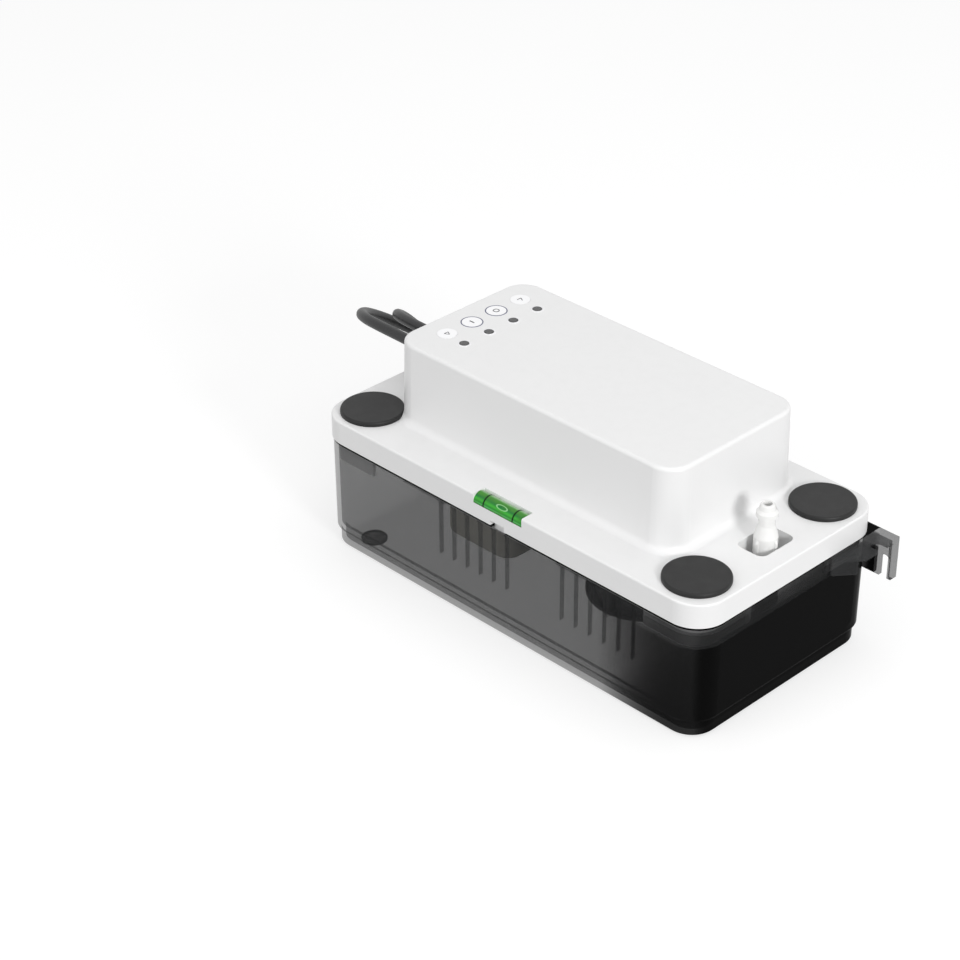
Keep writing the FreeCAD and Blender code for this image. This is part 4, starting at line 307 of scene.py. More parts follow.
def build_settled_group() -> bpy.types.NodeTree:
    """Mask of surfaces that face up, broken by noise, where dust settles.

    Returns:
        The node group.
    """
    tree = open_group("settled_dust", {"Amount": 0.3}, {"Mask": "Float"})
    ends = tree.add("NodeGroupInput")
    facing = tree.add("SeparateXYZ", {0: tree.add("NewGeometry").outputs["Normal"]}).outputs["Z"]
    patches = tree.add("TexNoise", {"Vector": tree.place(), "Scale": DUST_SCALE, "Detail": 6.0})
    mask = tree.math("MULTIPLY", tree.fit(facing, FACING_UP), tree.fit(patches.outputs["Fac"], DUST_EDGES))
    out = tree.add("NodeGroupOutput")
    tree.set(out, "Mask", tree.math("MULTIPLY", mask, ends.outputs["Amount"]))
    return tree.tree


def build_brushed_group() -> bpy.types.NodeTree:
    """Long fine scratches for bare metal: a height and a roughness.

    Returns:
        The node group.
    """
    tree = open_group("brushed_lines", {"Roughness": 0.3, "Spread": 0.15},
                      {"Height": "Float", "Roughness": "Float"})
    ends = tree.add("NodeGroupInput")
    lines = tree.add("TexNoise", {"Vector": tree.place(SCRATCHES), "Scale": 1.0, "Detail": 4.0})
    spread = tree.math("MULTIPLY", lines.outputs["Fac"], ends.outputs["Spread"])
    out = tree.add("NodeGroupOutput")
    tree.set(out, "Height", lines.outputs["Fac"])
    tree.set(out, "Roughness", tree.math("ADD", spread, ends.outputs["Roughness"]))
    return tree.tree


class Effects:
    """The shader node groups that several finishes share."""

    def __init__(self) -> None:
        """Build every group once."""
        self.grain = build_grain_group()
        self.drift = build_drift_group()
        self.dust = build_settled_group()
        self.brushed = build_brushed_group()


class Surface:
    """Principled shader of one new material, with the shared effects at hand."""

    def __init__(self, name: str, effects: Effects) -> None:
        """Make the material.

        Args:
            name: Its name.
            effects: The shared node groups.
        """
        self.material = bpy.data.materials.new(name)
        self.effects = effects
        self.tree = open_tree(self.material)
        self.shader = self.tree.add("BsdfPrincipled")
        self.tree.add("OutputMaterial", {"Surface": self.shader.outputs[0]})

    def set(self, socket: str, value: object) -> None:
        """Set or link one input of the shader.

        Args:
            socket: Name of the input.
            value: A plain value, or a node's output.
        """
        self.tree.set(self.shader, socket, value)

    def use(self, group: bpy.types.NodeTree, **inputs: object) -> bpy.types.Node:
        """Place a shared group in the material.

        Args:
            group: The node group.
            inputs: Values of its inputs, with underscores for spaces.

        Returns:
            The group node.
        """
        values = {name.replace("_", " "): value for name, value in inputs.items()}
        return self.tree.add("Group", values, node_tree=group)

    def tone(self, colour: object, shade: object, scale: float = 22.0, amount: object = 0.5) -> Link:
        """Colour that drifts into a second one.

        Args:
            colour: The colour, plain or linked.
            shade: The second colour.
            scale: Scale of the drift.
            amount: Share of the second colour.

        Returns:
            The colour output.
        """
        return self.use(self.effects.drift, Colour=colour, Shade=shade, Scale=scale, Amount=amount).outputs[0]

    def grain(self, scale: float, roughness: float, spread: float) -> Link:
        """Feed the grain's roughness to the shader.

        Args:
            scale: Scale of the grain.
            roughness: Mean roughness.
            spread: How far the roughness drifts.

        Returns:
            The grain's height.
        """
        node = self.use(self.effects.grain, Grain_Scale=scale, Roughness=roughness, Spread=spread)
        self.set("Roughness", node.outputs["Roughness"])
        return node.outputs["Height"]

    def bump(self, height: Link, depth: float) -> None:
        """Feed a height to the shader's normal.

        Args:
            height: Height output, from 0 to 1.
            depth: Height of the relief in metres.
        """
        node = self.tree.add("Bump", {"Height": height, "Distance": depth})
        self.set("Normal", node.outputs["Normal"])


# Finishes


@dataclass(frozen=True)
class Finish:
    """A finish that can be built as a material."""

    name: str

    def build(self, effects: Effects) -> bpy.types.Material:
        """Build the material.

        Args:
            effects: The shared node groups.

        Returns:
            The material.
        """
        surface = Surface(self.name, effects)
        self.apply(surface)
        return surface.material

    def apply(self, surface: Surface) -> None:
        """Set up the shader.

        Args:
            surface: The surface of the new material.
        """
        raise NotImplementedError


@dataclass(frozen=True)
class Moulded(Finish):
    """Moulded plastic or rubber with a fine grain, a slight drift of its tone and settled dust."""

    colour: Colour
    shade: Colour
    roughness: float = 0.5
    spread: float = 0.05
    grain_scale: float = 2600.0
    grain_depth: float = 0.00001
    drift: float = 0.4
    dust: float = 0.0
    dust_colour: Colour = (0.55, 0.55, 0.54)
    specular: float = 0.5

    def apply(self, surface: Surface) -> None:
        """Set up the shader.

        Args:
            surface: The surface of the new material.
        """
        tone = surface.tone(self.colour, self.shade, amount=self.drift)
        if self.dust > 0:
            mask = surface.use(surface.effects.dust, Amount=self.dust).outputs["Mask"]
            tone = surface.tree.mix(mask, tone, self.dust_colour)
        surface.set("Base Color", tone)
        surface.set("Specular IOR Level", self.specular)
        surface.bump(surface.grain(self.grain_scale, self.roughness, self.spread), self.grain_depth)


@dataclass(frozen=True)
class SmokyShell(Finish):
    """Smoky see-through plastic, denser at glancing angles, with painted shade that darkens it towards the
    pump end and over its end wall.

    The groove under the lid is painted black as its shadow, and the wall has less painted shade, so it lets
    more light through, where the lid's lip lies behind it.
    """

    name: str = "smoky_tank"
    colour: Colour = (0.060, 0.061, 0.062)
    shade: Colour = (0.048, 0.049, 0.050)
    # Painted shadow in the groove under the lid: its colour, and the height above which it is drawn.
    groove_shadow_colour: Colour = grey(0.003)
    groove_shadow_base: float = 0.0674
    # Painted shade towards the pump end: its near-black colour, how dense it gets, and where it starts and is
    # full.
    painted_shade_colour: Colour = grey(0.002)
    density: float = 0.36
    pump_shade_density: float = 0.84
    end_shade_density: float = 0.975
    edge_density: float = 0.98
    edge_blend: float = 0.12
    pump_shade_start: float = 0.030
    end_shade_start: float = 0.120
    end_shade_full: float = 0.1365
    ear_start: float = 0.1396
    lip_base: float = 0.0643
    lip_share: float = 0.45
    corner_lip_base: float = 0.0560
    corner_lip_share: float = 0.72
    ear_density: float = 0.50
    specular: float = 0.01
    relief: float = 0.000003
    drift_scale: float = 9.0
    drift: float = 0.35

    def apply(self, surface: Surface) -> None:
        """Set up the shader.

        Args:
            surface: The surface of the new material.
        """
        tree = surface.tree
        tone = surface.tone(self.colour, self.shade, self.drift_scale, self.drift)
        x, _, z = tree.add("SeparateXYZ", {0: tree.place()}).outputs
        inside = tree.math("LESS_THAN", tree.math("ABSOLUTE", x), self.ear_start)
        # Painted shadow: black and opaque in the groove under the lid.
        groove = tree.math("MULTIPLY", tree.math("GREATER_THAN", z, self.groove_shadow_base), inside)
        # Painted shade: darker and denser towards the pump end and over the end wall, standing in for the
        # shade seen through the wall there.
        pump = tree.fit(x, (self.pump_shade_start, self.end_shade_start), (0.0, self.pump_shade_density), soft=True)
        end = tree.fit(x, (self.end_shade_start, self.end_shade_full), (0.0, self.end_shade_density), soft=True)
        by_corner = tree.fit(tree.math("GREATER_THAN", z, self.corner_lip_base),
                             target=(1.0, self.corner_lip_share))
        by_lip = tree.fit(tree.math("GREATER_THAN", z, self.lip_base),
                          target=(1.0, self.lip_share / self.corner_lip_share))
        painted_shade = tree.math("MULTIPLY", tree.math("MAXIMUM", pump, end), inside)
        painted_shade = tree.math("MULTIPLY", painted_shade, tree.math("MULTIPLY", by_corner, by_lip))
        rim = tree.add("LayerWeight", {"Blend": self.edge_blend}).outputs["Facing"]
        edge = tree.math("MULTIPLY", tree.math("POWER", rim, 2.0), self.edge_density)
        wall = tree.math("MAXIMUM", painted_shade, tree.fit(inside, target=(self.ear_density, self.density)))
        painted_tone = tree.mix(painted_shade, tone, self.painted_shade_colour)
        surface.set("Base Color", tree.mix(groove, painted_tone, self.groove_shadow_colour))
        surface.set("Alpha", tree.math("MAXIMUM", tree.math("MAXIMUM", wall, edge), groove))
        surface.set("Specular IOR Level", self.specular)
        surface.bump(surface.grain(scale=24.0, roughness=0.08, spread=0.02), self.relief)


@dataclass(frozen=True)
class VialFinish(Finish):
    """Green vial: bands of light and shade round its axis and the outline of an air bubble."""

    name: str = "vial_liquid"
    axis_y: float = -0.0670
    axis_z: float = 0.0778
    lowest: float = -0.12
    highest: float = 2.28
    bubble_x: float = 0.0015
    bubble_angle: float = 0.92
    bubble_reach: float = 0.32
    bubble_half: float = 0.0043
    bubble_colour: Colour = (0.36, 0.72, 0.34)
    ring_place: float = 0.85
    ring_edges: tuple[float, float] = (0.16, 0.04)
    ring_share: float = 0.8
    mottling: Colour = (0.05, 0.26, 0.02)
    streaks: Point = (110.0, 260.0, 260.0)
    specular: float = 0.3
    relief: float = 0.000004
    # Green of the liquid with painted light and shade in bands round its axis: painted highlights, palest
    # along the top, between bands of painted shade.
    light_and_shade_bands: tuple[tuple[float, Colour], ...] = (
        (0.00, (0.004, 0.12, 0.006)), (0.05, (0.006, 0.17, 0.010)), (0.10, (0.08, 0.50, 0.11)),
        (0.17, (0.002, 0.22, 0.015)), (0.29, (0.04, 0.42, 0.030)), (0.42, (0.001, 0.15, 0.030)),
        (0.55, (0.035, 0.19, 0.020)), (0.68, (0.05, 0.24, 0.030)), (0.80, (0.26, 0.45, 0.23)),
        (0.92, (0.60, 0.72, 0.58)))

    def apply(self, surface: Surface) -> None:
        """Set up the shader.

        Args:
            surface: The surface of the new material.
        """
        tree = surface.tree
        x, y, z = tree.add("SeparateXYZ", {0: tree.place()}).outputs
        ahead = tree.math("SUBTRACT", self.axis_y, y)
        above = tree.math("SUBTRACT", z, self.axis_z)
        angle = tree.math("ARCTAN2", above, ahead)
        light_and_shade_bands = tree.ramp(tree.fit(angle, (self.lowest, self.highest)), self.light_and_shade_bands)
        streaks = tree.add("TexNoise", {"Vector": tree.place(self.streaks), "Scale": 1.0, "Detail": 3.0})
        mottled = surface.tone(light_and_shade_bands, self.mottling, scale=240.0, amount=streaks.outputs["Fac"])
        along = tree.math("DIVIDE", tree.math("SUBTRACT", x, self.bubble_x), self.bubble_half)
        across = tree.math("DIVIDE", tree.math("SUBTRACT", angle, self.bubble_angle), self.bubble_reach)
        away = tree.math("SQRT", tree.math("ADD", tree.math("MULTIPLY", along, along),
                                           tree.math("MULTIPLY", across, across)))
        beside = tree.math("ABSOLUTE", tree.math("SUBTRACT", away, self.ring_place))
        ring = tree.fit(beside, self.ring_edges, (0.0, self.ring_share))
        surface.set("Base Color", tree.mix(ring, mottled, self.bubble_colour))
        surface.set("Specular IOR Level", self.specular)
        surface.bump(surface.grain(scale=60.0, roughness=0.10, spread=0.03), self.relief)


@dataclass(frozen=True)
class Metal(Finish):
    """Bare or plated metal with fine lines and a slight tarnish."""

    colour: Colour
    shade: Colour
    roughness: float = 0.28
    spread: float = 0.18
    line_depth: float = 0.000006
    tarnish: float = 0.5

    def apply(self, surface: Surface) -> None:
        """Set up the shader.

        Args:
            surface: The surface of the new material.
        """
        surface.set("Base Color", surface.tone(self.colour, self.shade, scale=60.0, amount=self.tarnish))
        lines = surface.use(surface.effects.brushed, Roughness=self.roughness, Spread=self.spread)
        surface.set("Roughness", lines.outputs["Roughness"])
        surface.set("Metallic", 1.0)
        surface.bump(lines.outputs["Height"], self.line_depth)


@dataclass(frozen=True)
class Banded(Finish):
    """Layered surface: the sheets of a stack, the turns of a winding or the strands of a cord's coil."""

    colour: Colour
    gap_colour: Colour
    pitch: float
    axis: Axis
    metallic: float = 1.0
    roughness: float = 0.35
    depth: float = 0.00015
    crest_edges: tuple[float, float] = (0.1, 0.6)
    shade_share: float = 0.7

    def apply(self, surface: Surface) -> None:
        """Set up the shader.

        Args:
            surface: The surface of the new material.
        """
        tree = surface.tree
        parts = tree.add("SeparateXYZ", {0: tree.place()})
        along = tree.math("DIVIDE", parts.outputs[self.axis.value], self.pitch)
        wave = tree.math("ABSOLUTE", tree.math("SINE", tree.math("MULTIPLY", along, math.pi)))
        crest = tree.fit(wave, self.crest_edges)
        shade = [value * self.shade_share for value in self.colour]
        tone = surface.tone(self.colour, shade, scale=90.0, amount=0.6)
        surface.set("Base Color", tree.mix(crest, self.gap_colour, tone))
        surface.set("Metallic", self.metallic)
        surface.grain(scale=900.0, roughness=self.roughness, spread=0.1)
        surface.bump(crest, self.depth)


@dataclass(frozen=True)
class BoardFinish(Finish):
    """Circuit board: solder mask with traces, pads and darker parts below it."""

    name: str = "circuit_board_mask"
    mask: Colour = (0.015, 0.16, 0.05)
    trace: Colour = (0.03, 0.27, 0.09)
    pad: Colour = (0.72, 0.70, 0.62)
    part: Colour = grey(0.025, 0.003)
    part_top: float = 0.1242
    pad_edges: tuple[float, float] = (0.20, 0.17)
    relief: float = 0.00004

    def apply(self, surface: Surface) -> None:
        """Set up the shader.

        Args:
            surface: The surface of the new material.
        """
        tree = surface.tree
        where = tree.place()
        tracks = tree.add("TexBrick", {
            "Vector": where, "Scale": 120.0, "Mortar Size": 0.035, "Mortar Smooth": 0.1,
            "Color1": self.mask, "Color2": self.mask, "Mortar": self.trace}, offset=0.37)
        dots = tree.add("TexVoronoi", {"Vector": where, "Scale": 260.0})
        pads = tree.fit(dots.outputs["Distance"], self.pad_edges)
        face = tree.mix(pads, tracks.outputs["Color"], self.pad)
        height = tree.add("SeparateXYZ", {0: where}).outputs["Z"]
        below = tree.math("LESS_THAN", height, self.part_top)
        surface.set("Base Color", tree.mix(below, face, self.part))
        surface.grain(scale=700.0, roughness=0.32, spread=0.08)
        surface.bump(tracks.outputs["Fac"], self.relief)


@dataclass(frozen=True)
class Glow(Finish):
    """Lens of an indicator light, dark when the light is off, with a faint pattern of its diffuser."""

    colour: Colour
    centre: Colour
    coat: float = 0.25
    relief: float = 0.00003

    def apply(self, surface: Surface) -> None:
        """Set up the shader.

        Args:
            surface: The surface of the new material.
        """
        tree = surface.tree
        cell = tree.add("TexVoronoi", {"Vector": tree.place(), "Scale": 900.0}).outputs["Distance"]
        surface.set("Base Color", tree.mix(cell, self.colour, self.centre))
        surface.set("Coat Weight", self.coat)
        surface.grain(scale=500.0, roughness=0.12, spread=0.04)
        surface.bump(cell, self.relief)


WHITE = Moulded("white_moulding", grey(0.80), grey(0.76, 0.005), roughness=0.33, spread=0.04,
                grain_depth=0.000006, drift=0.22, dust=0.05)
PLUG_CAP = Moulded("inlet_plug_rubber", grey(0.016), grey(0.024), roughness=0.46, spread=0.08,
                   dust=0.06, dust_colour=grey(0.10), specular=0.26)
FINISHES = {
    "tank": SmokyShell(),
    "tank_feet": Moulded("foot_rubber", grey(0.03), grey(0.05), roughness=0.7, dust=0.2),
    "top_housing": WHITE,
    **{f"inlet_plug_{number}": PLUG_CAP for number in (1, 2, 3)},
    "level_vial": VialFinish(),
    "vial_marks": Moulded("mark_paint", (0.002, 0.010, 0.002), (0.004, 0.014, 0.004), specular=0.1),
    "indicator_lights": Glow("indicator_lens", grey(0.018, 0.001), grey(0.06, 0.003)),
    "icon_discs": Moulded("icon_label", grey(0.93, 0.01), grey(0.89, 0.02), roughness=0.3, drift=0.2),
    "circuit_board": BoardFinish(),
    "small_screws": Metal("zinc_small_screw", (0.62, 0.61, 0.58), (0.42, 0.41, 0.38)),
    "deck_screws": Metal("zinc_deck_screw", (0.60, 0.60, 0.58), (0.40, 0.40, 0.38)),
    "motor_screws": Metal("zinc_motor_screw", (0.58, 0.58, 0.57), (0.36, 0.36, 0.35)),
    "volute_screws": Metal("stainless_volute_screw", grey(0.62), grey(0.45), roughness=0.22),
    "motor_deck": Moulded("deck_moulding", (0.16, 0.165, 0.17), (0.13, 0.135, 0.14), dust=0.1),
    "stator_stack": Banded("stack_sheets", grey(0.20, 0.01), grey(0.03), 0.0006, Axis.Z),
    "coil_bobbin": Moulded("bobbin_nylon", (0.62, 0.60, 0.53), (0.52, 0.50, 0.43), roughness=0.55),
    "coil_winding": Banded("copper_turns", (0.62, 0.24, 0.09), (0.10, 0.03, 0.01), 0.0007, Axis.Y,
                           roughness=0.25, depth=0.0002),
    "rotor": Banded("rotor_cage", grey(0.60, 0.01), grey(0.12), 0.0019, Axis.Z, roughness=0.4),
    "motor_shaft": Metal("ground_shaft", grey(0.66, 0.01), grey(0.5, 0.02), roughness=0.16, spread=0.1),
    **{f"{end}_bracket": Metal(f"cast_{end}_bracket", (0.55, 0.55, 0.56), (0.38, 0.38, 0.4), roughness=0.45)
       for end in ("lower", "upper")},
    **{f"{end}_bearing": Metal(f"sintered_{end}_bearing", (0.52, 0.33, 0.14), (0.32, 0.19, 0.08),
                               roughness=0.5) for end in ("lower", "upper")},
    "cooling_fan": Moulded("fan_nylon", grey(0.05, 0.005), grey(0.07, 0.005), roughness=0.45, dust=0.35),
    "volute_casing": Moulded("volute_moulding", grey(0.025, 0.002), grey(0.04, 0.002), roughness=0.4),
    "volute_cover": Moulded("volute_cover_moulding", grey(0.022, 0.002), grey(0.035, 0.002), roughness=0.45),
    "impeller": Moulded("impeller_acetal", (0.62, 0.62, 0.59), (0.55, 0.55, 0.51), roughness=0.3),
    "discharge_pipe": Moulded("pipe_moulding", grey(0.03, 0.002), grey(0.045, 0.002), roughness=0.35),
    "check_valve": Moulded("valve_acetal", (0.80, 0.80, 0.79), (0.74, 0.74, 0.73), roughness=0.25,
                           spread=0.04),
    "check_ball": Moulded("ball_rubber", grey(0.03), grey(0.05), roughness=0.6),
    "valve_seal": Moulded("seal_rubber", grey(0.02), grey(0.04), roughness=0.35),
    "float": Moulded("float_foam", (0.66, 0.64, 0.57), (0.55, 0.53, 0.46), roughness=0.85, grain_scale=700.0,
                     grain_depth=0.00025, drift=0.6),
    "float_rod": Moulded("rod_acetal", (0.74, 0.74, 0.72), (0.66, 0.66, 0.63), roughness=0.3),
    "switch_arm": Moulded("arm_acetal", (0.72, 0.72, 0.70), (0.64, 0.64, 0.61), roughness=0.3),
    "switch_bracket": Moulded("bracket_moulding", (0.20, 0.205, 0.21), (0.16, 0.165, 0.17)),
    "arm_pin": Metal("arm_pin_steel", grey(0.64, 0.01), grey(0.48, 0.02), roughness=0.18),
    "alarm_switch": Moulded("alarm_switch_case", grey(0.02, 0.002), grey(0.035, 0.003)),
    "run_switch": Moulded("run_switch_case", (0.30, 0.03, 0.02), (0.24, 0.025, 0.016), roughness=0.45),
    **{f"{cord}_strain_relief": Moulded(f"{cord}_relief_rubber", grey(0.018, 0.001), grey(0.03, 0.001))
       for cord in ("power", "alarm")},
    "mains_plug": Moulded("plug_rubber", grey(0.016, 0.001), grey(0.028, 0.001), roughness=0.45, dust=0.15),
    "plug_blades": Metal("plug_brass", (0.70, 0.55, 0.26), (0.52, 0.38, 0.16), roughness=0.2),
    "alarm_cord_cores": Moulded("core_insulation", (0.42, 0.025, 0.02), (0.34, 0.02, 0.016), roughness=0.35),
}


# Camera, lamps and floor


@dataclass
class Studio:
    """Camera at the photograph's angle, soft lamps and a pale floor."""

    eye: Point = (0.7940, -0.8665, 0.7866)
    azimuth: float = 45.43
    elevation: float = 31.48
    roll: float = -0.20
    focal_pixels: float = 2551.0
    image_pixels: float = 960.0
    sensor: float = 36.0
    clip: tuple[float, float] = (0.05, 50.0)
    lamps: tuple[tuple[str, Point, float, float], ...] = (
        ("lamp_above", (0.2, 0.1, 1.6), 1.4, 5.9),
        ("lamp_right", (1.65, -0.5, 0.7), 0.36, 16.5),
        ("lamp_front", (-0.5, -1.8, 0.9), 1.2, 7.2))
    aim: Point = (0.0, 0.0, 0.06)
    floor_half: float = 4.0
    floor_tone: float = 0.42
    floor_fleck: float = 0.98
    floor_glow: float = 0.62
    world_level: float = 0.62

    def add_camera(self) -> None:
        """Place the camera where the photograph was taken from."""
        camera = bpy.data.cameras.new("camera")
        camera.sensor_width = self.sensor
        camera.lens = self.focal_pixels / self.image_pixels * self.sensor
        camera.clip_start, camera.clip_end = self.clip
        turn, rise, roll = (math.radians(angle) for angle in (self.azimuth, self.elevation, self.roll))
        back = Vector((math.sin(turn) * math.cos(rise), -math.cos(turn) * math.cos(rise), math.sin(rise)))
        right = Vector((math.cos(turn), math.sin(turn), 0.0))
        up = back.cross(right)
        rolled = right * math.cos(roll) + up * math.sin(roll)
        upright = up * math.cos(roll) - right * math.sin(roll)
        seen = bpy.data.objects.new("camera", camera)
        seen.matrix_world = Matrix((
            (rolled.x, upright.x, back.x, self.eye[0]),
            (rolled.y, upright.y, back.y, self.eye[1]),
            (rolled.z, upright.z, back.z, self.eye[2]),
            (0.0, 0.0, 0.0, 1.0)))
        bpy.context.scene.collection.objects.link(seen)
        bpy.context.scene.camera = seen

    def add_lamp(self, name: str, place: Sequence[float], width: float, watts: float) -> None:
        """Add a square lamp that looks at the pump.

        Args:
            name: Name of the lamp.
            place: Where it stands.
            width: Its width.
            watts: Its power.
        """
        lamp = bpy.data.lights.new(name, "AREA")
        lamp.shape = "SQUARE"
        lamp.size = width
        lamp.energy = watts
        holder = bpy.data.objects.new(name, lamp)
        holder.location = place
        aim = Vector(self.aim) - Vector(place)
        holder.rotation_euler = aim.to_track_quat("-Z", "Y").to_euler()
        bpy.context.scene.collection.objects.link(holder)

    def seen_directly(self, tree: Tree) -> Link:
        """Mask of what the camera, a mirror or a clear wall sees.

        Args:
            tree: The tree to build in.

        Returns:
            One where the ray is a camera, glossy or transmission ray.
        """
        path = tree.add("LightPath")
        shiny = tree.math("MAXIMUM", path.outputs["Is Glossy Ray"], path.outputs["Is Transmission Ray"])
        return tree.math("MAXIMUM", path.outputs["Is Camera Ray"], shiny)

    def add_world(self) -> None:
        """White to look at, and a plain level of light for everything else."""
        world = bpy.data.worlds.new("studio")
        tree = open_tree(world)
        level = tree.fit(self.seen_directly(tree), target=(self.world_level, 1.0))
        sky = tree.add("Background", {"Color": grey(1.0), "Strength": level})
        out = tree.add("OutputWorld")
        tree.set(out, "Surface", sky.outputs[0])
        bpy.context.scene.world = world

    def add_floor(self) -> None:
        """Pale floor that keeps the pump's shadow."""
        shape = bmesh.new()
        bmesh.ops.create_grid(shape, x_segments=1, y_segments=1, size=self.floor_half)
        floor = finish_mesh("floor", shape)
        material = bpy.data.materials.new("pale_floor")
        tree = open_tree(material)
        speck = tree.add("TexNoise", {"Vector": tree.place(), "Scale": 6.0, "Detail": 3.0})
        tone = tree.mix(speck.outputs["Fac"], grey(self.floor_tone), grey(self.floor_tone * self.floor_fleck))
        body = tree.add("BsdfDiffuse", {"Color": tone})
        level = tree.math("MULTIPLY", self.seen_directly(tree), self.floor_glow)
        glow = tree.add("Emission", {"Color": grey(1.0), "Strength": level})
        both = tree.add("AddShader")
        tree.set(both, 0, body.outputs[0])
        tree.set(both, 1, glow.outputs[0])
        out = tree.add("OutputMaterial")
        tree.set(out, "Surface", both.outputs[0])
        floor.data.materials.append(material)

    def build(self) -> None:
        """Set up the whole studio."""
        bpy.context.scene.view_settings.view_transform = "Standard"
        self.add_camera()
        self.add_world()
        self.add_floor()
        for lamp in self.lamps:
            self.add_lamp(*lamp)


# Mesh helpers


def finish_mesh(name: str, shape: bmesh.types.BMesh, smooth: float = SMOOTH_ANGLE) -> bpy.types.Object:
    """Turn a bmesh into a linked object with outward faces.

    Args:
        name: Name of the piece.
        shape: The bmesh, which is freed.
        smooth: Largest angle in degrees that is shaded smooth.

    Returns:
        The object.
    """
    bmesh.ops.remove_doubles(shape, verts=shape.verts, dist=WELD)
    bmesh.ops.recalc_face_normals(shape, faces=shape.faces)
    mesh = bpy.data.meshes.new(name)
    shape.to_mesh(mesh)
    shape.free()
    mesh.shade_smooth()
    mesh.set_sharp_from_angle(angle=math.radians(smooth))
    made = bpy.data.objects.new(name, mesh)
    bpy.context.scene.collection.objects.link(made)
    return made


def turn_profile(corners: Sequence[Vector], centre: Vector, axis: Point, closed: bool) -> bmesh.types.BMesh:
    """Turn a profile once round an axis.

    Args:
        corners: Corners of the profile in order.
        centre: A point of the axis.
        axis: Direction of the axis.
        closed: Whether the last corner joins the first.

    Returns:
        The bmesh.
    """
    shape = bmesh.new()
    verts = [shape.verts.new(corner) for corner in corners]
    ends = verts[1:] + verts[:1] if closed else verts[1:]
    edges = [shape.edges.new(pair) for pair in zip(verts, ends)]
    bmesh.ops.spin(shape, geom=verts + edges, cent=centre, axis=axis, angle=FULL_TURN, steps=TURN_STEPS,
                   use_merge=True, dvec=(0.0, 0.0, 0.0))
    return shape


def dress(piece: bpy.types.Object, material: bpy.types.Material, body: str) -> bpy.types.Object:
    """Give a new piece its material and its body.

    Args:
        piece: The piece.
        material: Its material.
        body: CAD body that it rides on.

    Returns:
        The piece.
    """
    piece.data.materials.clear()
    piece.data.materials.append(material)
    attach(piece, body)
    return piece


# Cords


@dataclass
class CordCoil:
    """The put-away length of a cord: rings wound inwards, then outwards one layer higher."""

    centre: tuple[float, float] = (-0.119, 0.128)
    outer: float = 0.0422
    inner: float = 0.0230
    pitch: float = 0.0064
    level: float = 0.0032
    per_turn: int = 16
    climb_turns: float = 0.5
    tuck: float = 0.0008

    @property
    def wound(self) -> float:
        """Turns of the lower layer."""
        return (self.outer - self.inner) / self.pitch

    def reach(self, turn: float) -> float:
        """Radius of the cord's middle line.

        Args:
            turn: Turns from the start of the coil.

        Returns:
            The radius.
        """
        past = turn - self.wound
        if past < 0.0:
            return self.outer - self.pitch * turn
        if past < self.climb_turns:
            return self.inner - self.tuck * math.sin(math.pi * past / self.climb_turns)
        return min(self.inner + self.pitch * (past - self.climb_turns), self.outer)

    def point(self, turn: float, reach: float, height: float) -> Point:
        """A point of the coil, wound clockwise from the pump's far side.

        Args:
            turn: Turns from the start of the coil.
            reach: Radius.
            height: Height.

        Returns:
            The point.
        """
        angle = math.pi - FULL_TURN * turn
        wide = reach / math.cos(math.pi / self.per_turn)
        return (self.centre[0] + wide * math.cos(angle), self.centre[1] + wide * math.sin(angle), height)

    def points(self, turns: float) -> list[Point]:
        """Control points of the coil.

        Args:
            turns: Number of turns.

        Returns:
            The points in order.
        """
        places = []
        for index in range(round(turns * self.per_turn) + 1):
            turn = index / self.per_turn
            climbed = min(max((turn - self.wound) / self.climb_turns, 0.0), 1.0)
            places.append(self.point(turn, self.reach(turn), self.level + self.pitch * climbed))
        return places


